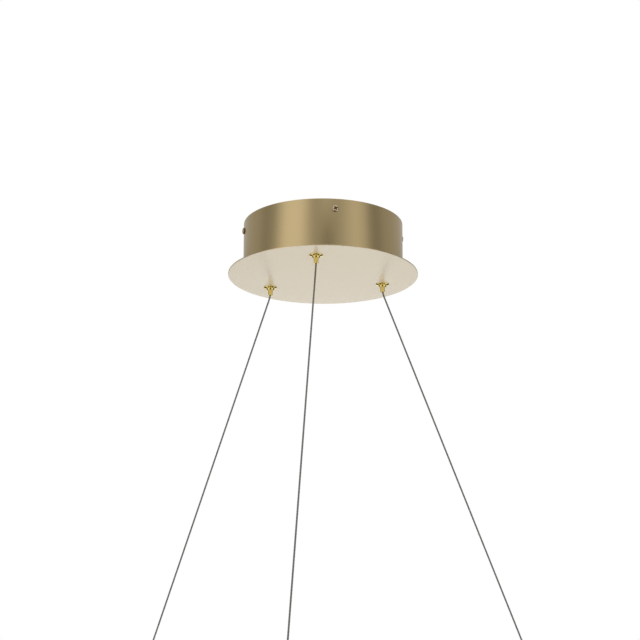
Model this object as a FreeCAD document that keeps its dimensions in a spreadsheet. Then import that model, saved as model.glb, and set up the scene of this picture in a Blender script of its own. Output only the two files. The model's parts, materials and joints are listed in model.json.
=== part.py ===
"""Ring chandelier on three wires: ceiling canopy, wire grippers, wires and lit ring.

Millimetres, +Z up. The origin lies on the ceiling plane, on the axis of the canopy. +X and +Y run
along the arms of the ceiling bracket, and the object hangs below the origin.
"""

import FreeCAD, Part
import math
import os
import re

import Sketcher

SIZES = (
    ("canopy_height", 62.0, "ceiling to the underside of the canopy plate"),
    ("drum_dia", 185.0, "outside of the canopy drum"),
    ("drum_wall", 1.2, "sheet of the drum"),
    ("drum_lug_width", 18.0, "inner lug that the plate is bolted to"),
    ("drum_lug_reach", 15.0, "lug length from the drum wall inwards"),
    ("drum_lug_count", 3, "lugs round the drum"),
    ("plate_dia", 220.0, "canopy plate"),
    ("plate_sheet", 1.5, "thickness of the canopy plate"),
    ("plate_edge", 0.4, "bevel of the plate's rim"),
    ("hole_play", 0.5, "hole diameter over its screw or stud"),
    ("thread_play", 0.1, "bore diameter over its thread"),
    ("stud_dia", 4.0, "weld stud on the plate"),
    ("stud_length", 9.0, "weld stud above the plate"),
    ("nut_flats", 7.0, "small nut across flats"),
    ("nut_thick", 3.2, "small nut"),
    ("side_screw_dia", 4.0, "screw through the drum into the bracket"),
    ("side_screw_length", 10.0, "under its head"),
    ("side_screw_drop", 12.0, "ceiling to the screw's axis"),
    ("side_head_dia", 7.6, "pan head"),
    ("side_head_thick", 2.4, "pan head"),
    ("recess_width", 1.0, "cross recess"),
    ("recess_span", 4.4, "cross recess"),
    ("recess_depth", 1.2, "cross recess"),
    ("bracket_sheet", 2.0, "ceiling bracket"),
    ("bracket_arm_width", 22.0, "ceiling bracket"),
    ("bracket_hub_dia", 62.0, "ceiling bracket"),
    ("bracket_bend", 3.0, "outside radius of the tab's bend"),
    ("bracket_tab_height", 20.0, "ceiling to the tab's lower edge"),
    ("bracket_gap", 0.3, "tab's corners to the drum's wall"),
    ("bracket_arm_count", 4, "arms, tabs and side screws"),
    ("ceiling_slot_width", 5.0, "slot for a ceiling screw"),
    ("ceiling_slot_length", 18.0, "slot end to end"),
    ("ceiling_slot_spacing", 110.0, "between opposite slots' centres"),
    ("supply_hole_dia", 22.0, "hole for the ceiling supply"),
    ("earth_screw_dia", 4.0, "earthing screw in the bracket"),
    ("earth_screw_place", 21.0, "from the canopy's axis"),
    ("earth_washer_side", 8.0, "square clamping washer"),
    ("earth_washer_thick", 1.0, "square clamping washer"),
    ("driver_length", 110.0, "lamp driver without its ears"),
    ("driver_width", 44.0, "lamp driver"),
    ("driver_floor", 1.6, "driver's base plate"),
    ("driver_cover_height", 26.0, "cover over the base plate"),
    ("driver_cap_length", 19.0, "screwed cap over each end's terminals"),
    ("driver_cap_height", 19.0, "cap over the base plate"),
    ("driver_ear_length", 12.0, "fixing ear"),
    ("driver_ear_width", 15.0, "fixing ear"),
    ("driver_corner", 3.0, "corner rounding"),
    ("groove_count", 7, "grooves across the driver's cover"),
    ("groove_pitch", 9.0, "between two grooves"),
    ("groove_width", 1.6, "groove"),
    ("groove_depth", 0.8, "groove"),
    ("driver_lead_dia", 6.0, "lead hole in the cap"),
    ("cap_screw_dia", 3.0, "screw of the driver's cap"),
    ("cap_head_dia", 5.5, "screw head"),
    ("cap_head_thick", 1.8, "screw head"),
    ("terminal_pitch", 13.0, "between poles of the supply terminal"),
    ("terminal_poles", 2, "poles"),
    ("terminal_depth", 19.0, "across the poles"),
    ("terminal_base", 6.0, "height between the poles"),
    ("terminal_tower", 13.0, "height at the poles"),
    ("terminal_gap", 6.4, "between two poles' towers"),
    ("terminal_wire_dia", 3.6, "wire entry"),
    ("terminal_screw_dia", 3.2, "clamp screw"),
    ("terminal_screw_recess", 1.6, "clamp screw below the tower's top"),
    ("terminal_offset", 46.0, "from the canopy's axis"),
    ("terminal_stud_dia", 3.0, "stud between two poles"),
    ("terminal_stud_length", 10.0, "stud above the plate"),
    ("terminal_nut_flats", 5.0, "nut on that stud"),
    ("terminal_nut_thick", 2.0, "nut on that stud"),
    ("gripper_count", 3, "grippers, wires and anchors"),
    ("gripper_start", -104.4, "direction of the first gripper, degrees"),
    ("gripper_circle_dia", 153.0, "circle of the gripper axes"),
    ("wire_dia", 2.0, "suspension wire"),
    ("shank_dia", 8.0, "threaded shank of the gripper"),
    ("shank_top", 13.0, "shank above the plate's underside"),
    ("shank_play", 0.2, "bores on the shank, diameter"),
    ("flange_dia", 15.5, "flared cap under the plate"),
    ("flange_rim", 0.6, "cap at its rim"),
    ("flange_depth", 1.4, "cap at its middle"),
    ("collar_dia", 9.2, "gripper collar at the cap"),
    ("collar_tip_dia", 6.8, "gripper collar at its lower end"),
    ("collar_reach", 3.7, "plate's underside to the collar's end"),
    ("collar_lip", 0.6, "inner lip at the collar's end, which holds the nose"),
    ("nose_dia", 5.4, "release nose"),
    ("nose_reach", 9.9, "plate's underside to the nose's end"),
    ("nose_travel", 1.6, "how far the nose presses in"),
    ("nose_play", 0.15, "nose to collar, on the radius"),
    ("nose_head_dia", 6.2, "nose's head above the lip"),
    ("nose_head_thick", 0.8, "nose's head above the lip"),
    ("nose_bore_dia", 2.5, "way for the wire through the nose"),
    ("nose_tube_dia", 3.6, "tube on the nose that lifts the balls"),
    ("ball_dia", 1.5, "clamping ball"),
    ("ball_count", 3, "balls round the wire"),
    ("ball_level", 2.6, "ball centres above the plate's underside"),
    ("ball_play", 0.03, "ball to wire and to cone"),
    ("cone_angle", 8.0, "half angle of the clamping cone, degrees"),
    ("chamber_dia", 6.0, "spring chamber"),
    ("plug_depth", 2.5, "end plug inside the shank"),
    ("plug_bore_dia", 2.6, "way for the wire through the plug"),
    ("spring_dia", 4.6, "gripper spring, outside"),
    ("spring_wire_dia", 0.6, "gripper spring"),
    ("gripper_nut_flats", 13.0, "gripper nut"),
    ("gripper_nut_thick", 4.0, "gripper nut"),
    ("wire_lead", 1.0, "straight wire below the nose"),
    ("tail_rise", 10.0, "wire above the gripper's shank"),
    ("crimp_dia", 3.4, "end cap crimped on the tail"),
    ("crimp_length", 8.0, "end cap crimped on the tail"),
    ("ring_drop", 800.0, "ceiling to the ring's top face"),
    ("ring_turn", -1.2, "how far the ring hangs turned from the canopy, degrees"),
    ("ring_dia", 800.0, "outside of the ring"),
    ("ring_width", 20.0, "ring section across"),
    ("ring_height", 40.0, "ring section, top to bottom"),
    ("ring_side_wall", 1.5, "ring extrusion"),
    ("ring_top_wall", 2.0, "ring extrusion"),
    ("ring_chamber", 11.0, "height of the closed upper chamber"),
    ("ring_web", 1.5, "web between the chamber and the light channel"),
    ("ring_seam", 0.3, "gap where the rolled extrusion closes"),
    ("diffuser_thick", 3.0, "opal diffuser pressed into the channel's mouth"),
    ("strip_width", 10.0, "light strip"),
    ("strip_thick", 0.3, "light strip"),
    ("strip_gap", 4.0, "light strip's open ends, degrees"),
    ("chip_length", 3.5, "light chip"),
    ("chip_width", 2.8, "light chip"),
    ("chip_thick", 0.8, "light chip"),
    ("chip_count", 72, "light chips"),
    ("splice_angle", 8.0, "joining bar in the chamber, degrees"),
    ("splice_play", 0.3, "joining bar to chamber"),
    ("splice_screw_dia", 3.0, "set screw through the inner wall"),
    ("splice_screw_length", 6.0, "set screw"),
    ("splice_screw_place", 15.0, "set screw to the seam"),
    ("anchor_base_dia", 12.0, "wire anchor on the ring"),
    ("anchor_base_thick", 1.2, "wire anchor"),
    ("anchor_waist_dia", 7.6, "wire anchor"),
    ("anchor_tip_dia", 6.0, "wire anchor"),
    ("anchor_height", 8.5, "wire anchor above the ring"),
    ("anchor_shank_dia", 6.0, "threaded shank into the chamber"),
    ("anchor_shank_length", 8.5, "shank below the ring's top face"),
    ("anchor_bore_dia", 2.6, "way for the wire"),
    ("anchor_seat", 2.0, "ferrule seat below the ring's top face"),
    ("anchor_nut_flats", 10.0, "nut in the chamber"),
    ("anchor_nut_thick", 5.0, "nut in the chamber"),
    ("ferrule_dia", 4.4, "swaged ferrule on the wire's end"),
    ("ferrule_length", 4.0, "swaged ferrule"),
    ("ferrule_play", 0.2, "ferrule to its bore, on the radius"),
    ("anchor_lead", 0.6, "straight wire above the anchor"),
    ("wire_end_gap", 0.3, "free wire to the anchored end"),
    ("cut_past", 1.0, "how far a cut's outline reaches past the face that it opens"),
)
NAMES = {name for name, _, _ in SIZES}
NEAR = 1e-4  # mm between two points, levels or radii that are the same
BOTH_ENDS = "2"

doc = FreeCAD.newDocument("ring_chandelier")
sheet = doc.addObject("Spreadsheet::Sheet", "Sizes")
for row, (name, size, note) in enumerate(SIZES, 1):
    sheet.set(f"A{row}", name)
    sheet.set(f"B{row}", str(size))
    sheet.setAlias(f"B{row}", name)
    sheet.set(f"C{row}", note)
doc.recompute()

# Places that several pieces share, as formulas of the sheet
PLATE_TOP = "(plate_sheet - canopy_height)"
PLATE_UNDER = "(-canopy_height)"
DRUM_RADIUS = "(drum_dia/2)"
DRUM_INSIDE = "(drum_dia/2 - drum_wall)"
TAB_FACE = "sqrt((drum_dia/2 - drum_wall - bracket_gap)^2 - (bracket_arm_width/2)^2)"
LUG_STUD = "(drum_dia/2 - drum_wall - drum_lug_reach/2)"
DRIVER_STUD = "(driver_length/2 + driver_ear_length/2)"
SHANK_SEAT = "(-flange_depth)"
PLUG_SEAT = "(shank_top - plug_depth)"
BALL_CIRCLE = "(wire_dia/2 + ball_play + ball_dia/2)"
BALL_TOP = "(ball_level + ball_dia/2)"
NOSE_BORE = "(nose_dia/2 + nose_play)"
HEAD_SEAT = "(collar_lip - collar_reach)"
HEAD_TOP = f"({HEAD_SEAT} + nose_head_thick)"
HEAD_ROOF = f"({HEAD_TOP} + nose_travel + nose_play)"
WIRE_TOP = "(-nose_reach - wire_lead)"
ANCHOR_CIRCLE = "(ring_dia/2 - ring_width/2)"
WIRE_ALONG = f"({ANCHOR_CIRCLE}*cos(ring_turn) - gripper_circle_dia/2)"
WIRE_ASIDE = f"({ANCHOR_CIRCLE}*sin(ring_turn))"
WIRE_SPREAD = f"sqrt({WIRE_ALONG}^2 + {WIRE_ASIDE}^2)"
WIRE_SWING = f"(atan({WIRE_ASIDE}/{WIRE_ALONG})/(1 deg))"
WIRE_DROP = "(ring_drop - canopy_height - nose_reach - wire_lead - anchor_height - anchor_lead)"
WIRE_LEAN = f"atan({WIRE_SPREAD}/{WIRE_DROP})"
TAIL_TOP = "(shank_top + tail_rise)"
CHAMBER_FLOOR = "(-ring_top_wall - ring_chamber)"
CHANNEL_ROOF = "(-ring_top_wall - ring_chamber - ring_web)"
CHANNEL_OUT = "(ring_dia/2 - ring_side_wall)"
CHANNEL_IN = "(ring_dia/2 - ring_width + ring_side_wall)"
LUG_START = "(gripper_start + 180/gripper_count)"
LUG_ROOT = f"(sqrt({DRUM_INSIDE}^2 - (drum_lug_width/2)^2) + drum_wall/2)"
ANCHOR_START = "(gripper_start + ring_turn)"
SEAM_ANGLE = f"({ANCHOR_START} + 180/gripper_count)"

nodes = []


def formula(text):
    """The text with each size's name pointing at its cell in the sheet."""
    return re.sub(r"[a-z_]+", lambda word: f"Sizes.{word[0]}" if word[0] in NAMES else word[0], text)


def value(text):
    """What a formula gives with the sheet's present sizes."""
    return float(sheet.evalExpression(formula(text)))


def count(name):
    """A size that says how many."""
    return round(value(name))


def bind(thing, path, text):
    thing.setExpression(path, formula(text))


def place(thing, x="0", y="0", z="0", turn="0"):
    """Put a finished piece at a point, turned about the vertical."""
    for path, text in (("Base.x", x), ("Base.y", y), ("Base.z", z), ("Rotation.Angle", turn)):
        if text != "0":
            bind(thing, f"Placement.{path}", text)


def new_body(label):
    body = doc.addObject("PartDesign::Body", label)
    body.Label = label
    nodes.append(body)
    return body


def origin_feature(body, role):
    return next(feature for feature in body.Origin.OriginFeatures if feature.Role == role)


def new_sketch(body, plane, name, level="0"):
    """A sketch on one of the body's origin planes, lifted off it by a formula."""
    sketch = body.newObject("Sketcher::SketchObject", name)
    sketch.AttachmentSupport = [(origin_feature(body, plane), "")]
    sketch.MapMode = "FlatFace"
    if level != "0":
        bind(sketch, "AttachmentOffset.Base.z", level)
    return sketch


def hold(sketch, geometry, point, x, y):
    """Tie one point of the sketch to two formulas."""
    for kind, axis, text in (("DistanceX", -2, x), ("DistanceY", -1, y)):
        if text == "0":
            sketch.addConstraint(Sketcher.Constraint("PointOnObject", geometry, point, axis))
        else:
            at = sketch.addConstraint(Sketcher.Constraint(kind, -1, 1, geometry, point, value(text)))
            bind(sketch, f"Constraints[{at}]", text)


def bulge(start, end, radius):
    """The middle of the arc from start to end; a positive radius bulges to the right of the way."""
    chord = end - start
    across = FreeCAD.Vector(chord.y, -chord.x, 0).normalize()
    rise = abs(radius) - math.sqrt(max(radius**2 - chord.Length**2 / 4, 0))
    return (start + end) * 0.5 + across * math.copysign(rise, radius)


def outline(sketch, corners):
    """A closed outline. A corner is (x, y), or (x, y, radius, side) where an arc arrives there."""
    points = [FreeCAD.Vector(value(corner[0]), value(corner[1]), 0) for corner in corners]
    edges = []
    for index, corner in enumerate(corners):
        start, end = points[index - 1], points[index]
        if len(corner) == 2:
            edge = sketch.addGeometry(Part.LineSegment(start, end), False)
        else:
            middle = bulge(start, end, value(corner[2]) * corner[3])
            edge = sketch.addGeometry(Part.Arc(start, middle, end), False)
            at = sketch.addConstraint(Sketcher.Constraint("Radius", edge, value(corner[2])))
            bind(sketch, f"Constraints[{at}]", corner[2])
        first = 1 if (sketch.getPoint(edge, 1) - start).Length < NEAR else 2
        edges.append((edge, first, 3 - first))
    for index, corner in enumerate(corners):
        arriving, leaving = edges[index], edges[(index + 1) % len(edges)]
        sketch.addConstraint(
            Sketcher.Constraint("Coincident", arriving[0], arriving[2], leaving[0], leaving[1])
        )
        hold(sketch, arriving[0], arriving[2], corner[0], corner[1])


def rectangle(sketch, x_low, x_high, y_low, y_high):
    outline(sketch, ((x_low, y_low), (x_high, y_low), (x_high, y_high), (x_low, y_high)))


def circle(sketch, x, y, radius):
    centre = FreeCAD.Vector(value(x), value(y), 0)
    edge = sketch.addGeometry(Part.Circle(centre, FreeCAD.Vector(0, 0, 1), value(radius)), False)
    hold(sketch, edge, 3, x, y)
    at = sketch.addConstraint(Sketcher.Constraint("Radius", edge, value(radius)))
    bind(sketch, f"Constraints[{at}]", radius)


def hexagon(sketch, x, y, flats):
    corner = f"({flats}/2/cos(30))"
    outline(sketch, [(f"{x} + {corner}*cos({60 * k})", f"{y} + {corner}*sin({60 * k})") for k in range(6)])


def slot(sketch, x, length, width):
    """An obround along X, centred on the X axis at x."""
    half, straight = f"({width}/2)", f"(({length} - {width})/2)"
    up, ends = FreeCAD.Vector(0, value(half), 0), []
    for side in ("-", "+"):
        centre = FreeCAD.Vector(value(f"{x} {side} {straight}"), 0, 0)
        out = FreeCAD.Vector(value(half) * (1 if side == "+" else -1), 0, 0)
        ends.append(sketch.addGeometry(Part.Arc(centre - up, centre + out, centre + up), False))
        hold(sketch, ends[-1], 3, f"{x} {side} {straight}", "0")
    for level in (1, -1):
        marks = [sketch.getPoint(end, 3) + up * level for end in ends]
        line = sketch.addGeometry(Part.LineSegment(*marks), False)
        for at, end in enumerate(ends):
            near = min((1, 2), key=lambda p: (sketch.getPoint(end, p) - marks[at]).Length)
            sketch.addConstraint(Sketcher.Constraint("Tangent", end, near, line, at + 1))
    sketch.addConstraint(Sketcher.Constraint("Equal", *ends))
    at = sketch.addConstraint(Sketcher.Constraint("Radius", ends[0], value(half)))
    bind(sketch, f"Constraints[{at}]", half)


def pad(body, sketch, length, both_ways=False, down=False):
    feature = body.newObject("PartDesign::Pad", f"{sketch.Name}_pad")
    feature.Profile = sketch
    bind(feature, "Length", length)
    feature.Midplane = both_ways
    feature.Reversed = down
    doc.recompute()
    return feature


def cut(body, sketch, depth=None, both_ways=False, turned_round=False):
    """A pocket, to a depth or through everything, that has to take something away."""
    before = body.Shape.Volume
    feature = body.newObject("PartDesign::Pocket", f"{sketch.Name}_cut")
    feature.Profile = sketch
    if depth is None:
        feature.Type = "ThroughAll"
    else:
        bind(feature, "Length", depth)
    feature.Midplane = both_ways
    feature.Reversed = turned_round
    doc.recompute()
    if body.Shape.Volume >= before - NEAR:
        raise RuntimeError(f"{body.Label}: {sketch.Name} cut nothing")
    return feature


def revolve(body, sketch, axis="V_Axis", angle="360", both_ways=False):
    """The sketch turned about one of its axes or edges."""
    feature = body.newObject("PartDesign::Revolution", f"{sketch.Name}_turn")
    feature.Profile = sketch
    feature.ReferenceAxis = (sketch, [axis])
    bind(feature, "Angle", angle)
    feature.Midplane = both_ways
    doc.recompute()
    return feature


def repeat(body, features, count, angle="360"):
    """The features again round the body's vertical axis."""
    pattern = body.newObject("PartDesign::PolarPattern", f"{features[0].Name}_round")
    pattern.Originals = features
    pattern.Axis = (origin_feature(body, "Z_Axis"), [""])
    bind(pattern, "Angle", angle)
    bind(pattern, "Occurrences", count)
    body.Tip = pattern
    doc.recompute()
    return pattern


def soften(body, kind, size, chosen):
    """A fillet or chamfer on the edges that chosen picks."""
    base = body.Tip
    names = [f"Edge{n}" for n, edge in enumerate(body.Shape.Edges, 1) if chosen(edge)]
    feature = body.newObject(f"PartDesign::{kind}", f"{body.Name}_{kind.lower()}_{len(body.Group)}")
    feature.Base = (base, names)
    bind(feature, "Radius" if kind == "Fillet" else "Size", size)
    body.Tip = feature
    doc.recompute()
    return feature


def turned(label, corners):
    """A piece turned about the vertical from half its section."""
    body = new_body(label)
    sketch = new_sketch(body, "XZ_Plane", f"{label}_section")
    outline(sketch, corners)
    revolve(body, sketch)
    return body


def level_edge(level, radius=None):
    """Picks the edges that lie at one height, or only the circle of one radius there."""
    def chosen(edge):
        box = edge.BoundBox
        flat = abs(box.ZMin - value(level)) < NEAR and abs(box.ZMax - value(level)) < NEAR
        round_one = radius is None or abs(getattr(edge.Curve, "Radius", -1) - value(radius)) < NEAR
        return flat and round_one
    return chosen


# Ceiling bracket and canopy

def ceiling_bracket():
    body = new_body("ceiling_bracket")
    side = new_sketch(body, "XZ_Plane", "bracket_arm_side")
    inner = "(bracket_bend - bracket_sheet)"
    outline(side, (
        ("0", "-bracket_sheet"),
        (f"{TAB_FACE} - bracket_bend", "-bracket_sheet"),
        (f"{TAB_FACE} - bracket_sheet", "-bracket_bend", inner, -1),
        (f"{TAB_FACE} - bracket_sheet", "-bracket_tab_height"),
        (TAB_FACE, "-bracket_tab_height"),
        (TAB_FACE, "-bracket_bend"),
        (f"{TAB_FACE} - bracket_bend", "0", "bracket_bend", 1),
        ("0", "0"),
    ))
    arm = pad(body, side, "bracket_arm_width", both_ways=True)
    repeat(body, [arm], "bracket_arm_count")
    hub = new_sketch(body, "XY_Plane", "bracket_hub")
    circle(hub, "0", "0", "bracket_hub_dia/2")
    pad(body, hub, "bracket_sheet", down=True)
    supply = new_sketch(body, "XY_Plane", "supply_hole")
    circle(supply, "0", "0", "supply_hole_dia/2")
    cut(body, supply, both_ways=True)
    earth = new_sketch(body, "XY_Plane", "earth_hole")
    circle(earth, "-earth_screw_place", "0", "(earth_screw_dia + thread_play)/2")
    cut(body, earth, both_ways=True)
    slots = new_sketch(body, "XY_Plane", "ceiling_slot")
    slot(slots, "ceiling_slot_spacing/2", "ceiling_slot_length", "ceiling_slot_width")
    one = cut(body, slots, both_ways=True)
    repeat(body, [one], "bracket_arm_count")
    for plane in ("YZ_Plane", "XZ_Plane"):
        holes = new_sketch(body, plane, f"tab_holes_{plane[:2].lower()}")
        circle(holes, "0", "-side_screw_drop", "(side_screw_dia + hole_play)/2")
        cut(body, holes, both_ways=True)


def tab_nuts():
    """Weld nuts inside the bracket's tabs."""
    body = new_body("bracket_nuts")
    sketch = new_sketch(body, "YZ_Plane", "tab_nut", f"{TAB_FACE} - bracket_sheet - nut_thick")
    hexagon(sketch, "0", "-side_screw_drop", "nut_flats")
    circle(sketch, "0", "-side_screw_drop", "(side_screw_dia + thread_play)/2")
    nut = pad(body, sketch, "nut_thick")
    repeat(body, [nut], "bracket_arm_count")


def side_screws():
    """Pan head screws, heads outside the drum."""
    body = new_body("side_screws")
    side = new_sketch(body, "XZ_Plane", "side_screw_side")
    top = f"({DRUM_RADIUS} + side_head_thick)"
    outline(side, (
        (f"{DRUM_RADIUS} - side_screw_length", "0"),
        (f"{DRUM_RADIUS} - side_screw_length", "side_screw_dia/2 - thread_play"),
        (f"{DRUM_RADIUS}", "side_screw_dia/2 - thread_play"),
        (f"{DRUM_RADIUS}", "side_head_dia/2"),
        (f"{DRUM_RADIUS} + side_head_thick/2", "side_head_dia/2"),
        (top, "side_head_dia/3"),
        (top, "0"),
    ))
    screw = revolve(body, side, "H_Axis")
    recess = new_sketch(body, "YZ_Plane", "side_screw_recess", top)
    arm, half = "(recess_span/2)", "(recess_width/2)"
    outline(recess, (
        (arm, f"-{half}"), (arm, half), (half, half), (half, arm),
        (f"-{half}", arm), (f"-{half}", half), (f"-{arm}", half), (f"-{arm}", f"-{half}"),
        (f"-{half}", f"-{half}"), (f"-{half}", f"-{arm}"), (half, f"-{arm}"), (half, f"-{half}"),
    ))
    cross = cut(body, recess, "recess_depth")
    repeat(body, [screw, cross], "bracket_arm_count")
    place(body, z="-side_screw_drop")


def earth_terminal():
    """Earthing screw with its square washer, under the bracket."""
    low = "(-bracket_sheet - earth_washer_thick)"
    screw = turned("earth_screw", (
        ("0", f"{low} - side_head_thick"),
        ("side_head_dia/3", f"{low} - side_head_thick"),
        ("side_head_dia/2", f"{low} - side_head_thick/2"),
        ("side_head_dia/2", low),
        ("earth_screw_dia/2 - thread_play", low),
        ("earth_screw_dia/2 - thread_play", "-thread_play"),
        ("0", "-thread_play"),
    ))
    place(screw, x="-earth_screw_place")
    washer = new_body("earth_washer")
    sketch = new_sketch(washer, "XY_Plane", "earth_washer_outline", "-bracket_sheet")
    half = "(earth_washer_side/2)"
    rectangle(sketch, f"-{half}", half, f"-{half}", half)
    circle(sketch, "0", "0", "(earth_screw_dia + hole_play)/2")
    pad(washer, sketch, "earth_washer_thick", down=True)
    place(washer, x="-earth_screw_place")


def canopy_drum():
    body = new_body("canopy_drum")
    wall = new_sketch(body, "XY_Plane", "drum_wall_ring")
    circle(wall, "0", "0", DRUM_RADIUS)
    circle(wall, "0", "0", DRUM_INSIDE)
    pad(body, wall, "canopy_height - plate_sheet", down=True)
    for plane in ("YZ_Plane", "XZ_Plane"):
        holes = new_sketch(body, plane, f"drum_holes_{plane[:2].lower()}")
        circle(holes, "0", "-side_screw_drop", "(side_screw_dia + hole_play)/2")
        cut(body, holes, both_ways=True)
    lug = new_sketch(body, "XY_Plane", "drum_lug", PLATE_TOP)
    near, nose = f"({DRUM_INSIDE} - drum_lug_reach)", "(drum_lug_width/4)"

    def spun(x, y):
        turn = LUG_START
        return (f"{x}*cos{turn} - ({y})*sin{turn}", f"{x}*sin{turn} + ({y})*cos{turn}")
    outline(lug, (
        spun(near, f"-{nose}"),
        spun(f"({near} + {nose})", "-drum_lug_width/2"),
        spun(LUG_ROOT, "-drum_lug_width/2"),
        spun(LUG_ROOT, "drum_lug_width/2"),
        spun(f"({near} + {nose})", "drum_lug_width/2"),
        spun(near, nose),
    ))
    hole = spun(LUG_STUD, "0")
    circle(lug, hole[0], hole[1], "(stud_dia + hole_play)/2")
    one = pad(body, lug, "drum_wall")
    repeat(body, [one], "drum_lug_count")


def canopy_plate():
    body = new_body("canopy_plate")
    disc = new_sketch(body, "XY_Plane", "plate_disc")
    circle(disc, "0", "0", "plate_dia/2")
    pad(body, disc, "plate_sheet")
    hole = new_sketch(body, "XY_Plane", "gripper_hole")
    circle(hole, "gripper_circle_dia/2", "0", "(shank_dia + shank_play)/2")
    one = cut(body, hole, both_ways=True)
    repeat(body, [one], "gripper_count")
    soften(body, "Chamfer", "plate_edge", level_edge("0", "plate_dia/2"))
    place(body, z=PLATE_UNDER, turn="gripper_start")


def stud_points():
    """Centres of the weld studs: one for each lug, and two for the driver."""
    lugs = [f"({LUG_START} + {k}*360/drum_lug_count)" for k in range(count("drum_lug_count"))]
    places = [(f"{LUG_STUD}*cos{turn}", f"{LUG_STUD}*sin{turn}") for turn in lugs]
    return places + [(DRIVER_STUD, "0"), (f"-{DRIVER_STUD}", "0")]


def plate_studs():
    body = new_body("plate_studs")
    sketch = new_sketch(body, "XY_Plane", "stud_circles", PLATE_TOP)
    for x, y in stud_points():
        circle(sketch, x, y, "stud_dia/2")
    pad(body, sketch, "stud_length")


def plate_nuts():
    """Nuts that clamp the drum's lugs and the driver's ears."""
    body = new_body("plate_nuts")
    places = stud_points()
    for number, (x, y) in enumerate(places):
        seat = "drum_wall" if number < len(places) - 2 else "driver_floor"
        sketch = new_sketch(body, "XY_Plane", f"plate_nut_{number + 1}", f"{PLATE_TOP} + {seat}")
        hexagon(sketch, x, y, "nut_flats")
        circle(sketch, x, y, "(stud_dia + thread_play)/2")
        pad(body, sketch, "nut_thick")


# Lamp driver and supply terminal

def driver_base():
    body = new_body("driver_base")
    sketch = new_sketch(body, "XY_Plane", "driver_floor_outline")
    end, ear = "(driver_length/2)", "(driver_length/2 + driver_ear_length)"
    wide, narrow, mouth = "(driver_width/2)", "(driver_ear_width/2)", "((stud_dia + hole_play)/2)"
    root = f"({DRIVER_STUD} - {mouth})"
    right = [(end, f"-{wide}"), (end, f"-{narrow}"), (ear, f"-{narrow}"), (ear, f"-{mouth}"),
             (root, f"-{mouth}"), (root, mouth), (ear, mouth), (ear, narrow), (end, narrow), (end, wide)]
    left = [(f"-{x}", y) for x, y in reversed(right)]
    outline(sketch, right + left)
    pad(body, sketch, "driver_floor")
    place(body, z=PLATE_TOP)


def driver_cover():
    """Ribbed cover over the driver's works, with lower ends under the caps."""
    body = new_body("driver_cover")
    half = "(driver_length/2 - driver_cap_length)"
    sketch = new_sketch(body, "XY_Plane", "driver_cover_outline")
    rectangle(sketch, f"-{half}", half, "-driver_width/2", "driver_width/2")
    pad(body, sketch, "driver_cover_height")
    soften(body, "Fillet", "driver_corner", level_edge("driver_cover_height"))
    grooves = new_sketch(body, "XZ_Plane", "driver_grooves")
    for k in range(count("groove_count")):
        middle = f"(({k} - (groove_count - 1)/2)*groove_pitch)"
        rectangle(grooves, f"{middle} - groove_width/2", f"{middle} + groove_width/2",
                  "driver_cover_height - groove_depth", "driver_cover_height + cut_past")
    cut(body, grooves, "driver_width/2", both_ways=True)
    place(body, z=f"{PLATE_TOP} + driver_floor")


def driver_caps():
    """Caps over the terminals at both ends, each with a lead hole, and their screws."""
    body = new_body("driver_end_caps")
    inner, outer = "(driver_length/2 - driver_cap_length)", "(driver_length/2)"
    side = new_sketch(body, "XZ_Plane", "driver_cap_side")
    outline(side, (
        (inner, "0"),
        (outer, "0"),
        (outer, "driver_cap_height - driver_corner"),
        (f"{outer} - driver_corner", "driver_cap_height", "driver_corner", 1),
        (inner, "driver_cap_height"),
    ))
    cap = pad(body, side, "driver_width", both_ways=True)
    lead = new_sketch(body, "YZ_Plane", "driver_lead_hole", outer)
    circle(lead, "driver_width/4", "driver_cap_height/2", "driver_lead_dia/2")
    hole = cut(body, lead, "driver_cap_length/2")
    screw = new_sketch(body, "XY_Plane", "driver_cap_hole", "driver_cap_height")
    middle = "(driver_length/2 - driver_cap_length/2)"
    circle(screw, middle, "-driver_width/4", "(cap_screw_dia + thread_play)/2")
    bore = cut(body, screw, "driver_cap_height/2")
    repeat(body, [cap, hole, bore], BOTH_ENDS)
    place(body, z=f"{PLATE_TOP} + driver_floor")
    screws = new_body("driver_cap_screws")
    head = new_sketch(screws, "XY_Plane", "cap_screw_head")
    circle(head, middle, "-driver_width/4", "cap_head_dia/2")
    first = pad(screws, head, "cap_head_thick")
    shank = new_sketch(screws, "XY_Plane", "cap_screw_shank")
    circle(shank, middle, "-driver_width/4", "cap_screw_dia/2")
    second = pad(screws, shank, "driver_cap_height/2 - thread_play", down=True)
    cross = new_sketch(screws, "XY_Plane", "cap_screw_slot", "cap_head_thick")
    rectangle(cross, f"{middle} - cap_head_dia/2", f"{middle} + cap_head_dia/2",
              "-driver_width/4 - recess_width/2", "-driver_width/4 + recess_width/2")
    third = cut(screws, cross, "cap_head_thick/2")
    repeat(screws, [first, second, third], BOTH_ENDS)
    place(screws, z=f"{PLATE_TOP} + driver_floor + driver_cap_height")


def terminal_x(pole):
    return f"(({pole} - (terminal_poles - 1)/2)*terminal_pitch)"


def terminal_wells():
    """Centres of the clamp screws, two for each pole."""
    poles = range(count("terminal_poles"))
    return [(terminal_x(pole), f"{side}terminal_depth/4") for pole in poles for side in ("-", "")]


def terminal_studs_x():
    """Places of the studs that hold the block, one between each two poles."""
    return [terminal_x(f"{pole}.5") for pole in range(count("terminal_poles") - 1)]


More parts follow.
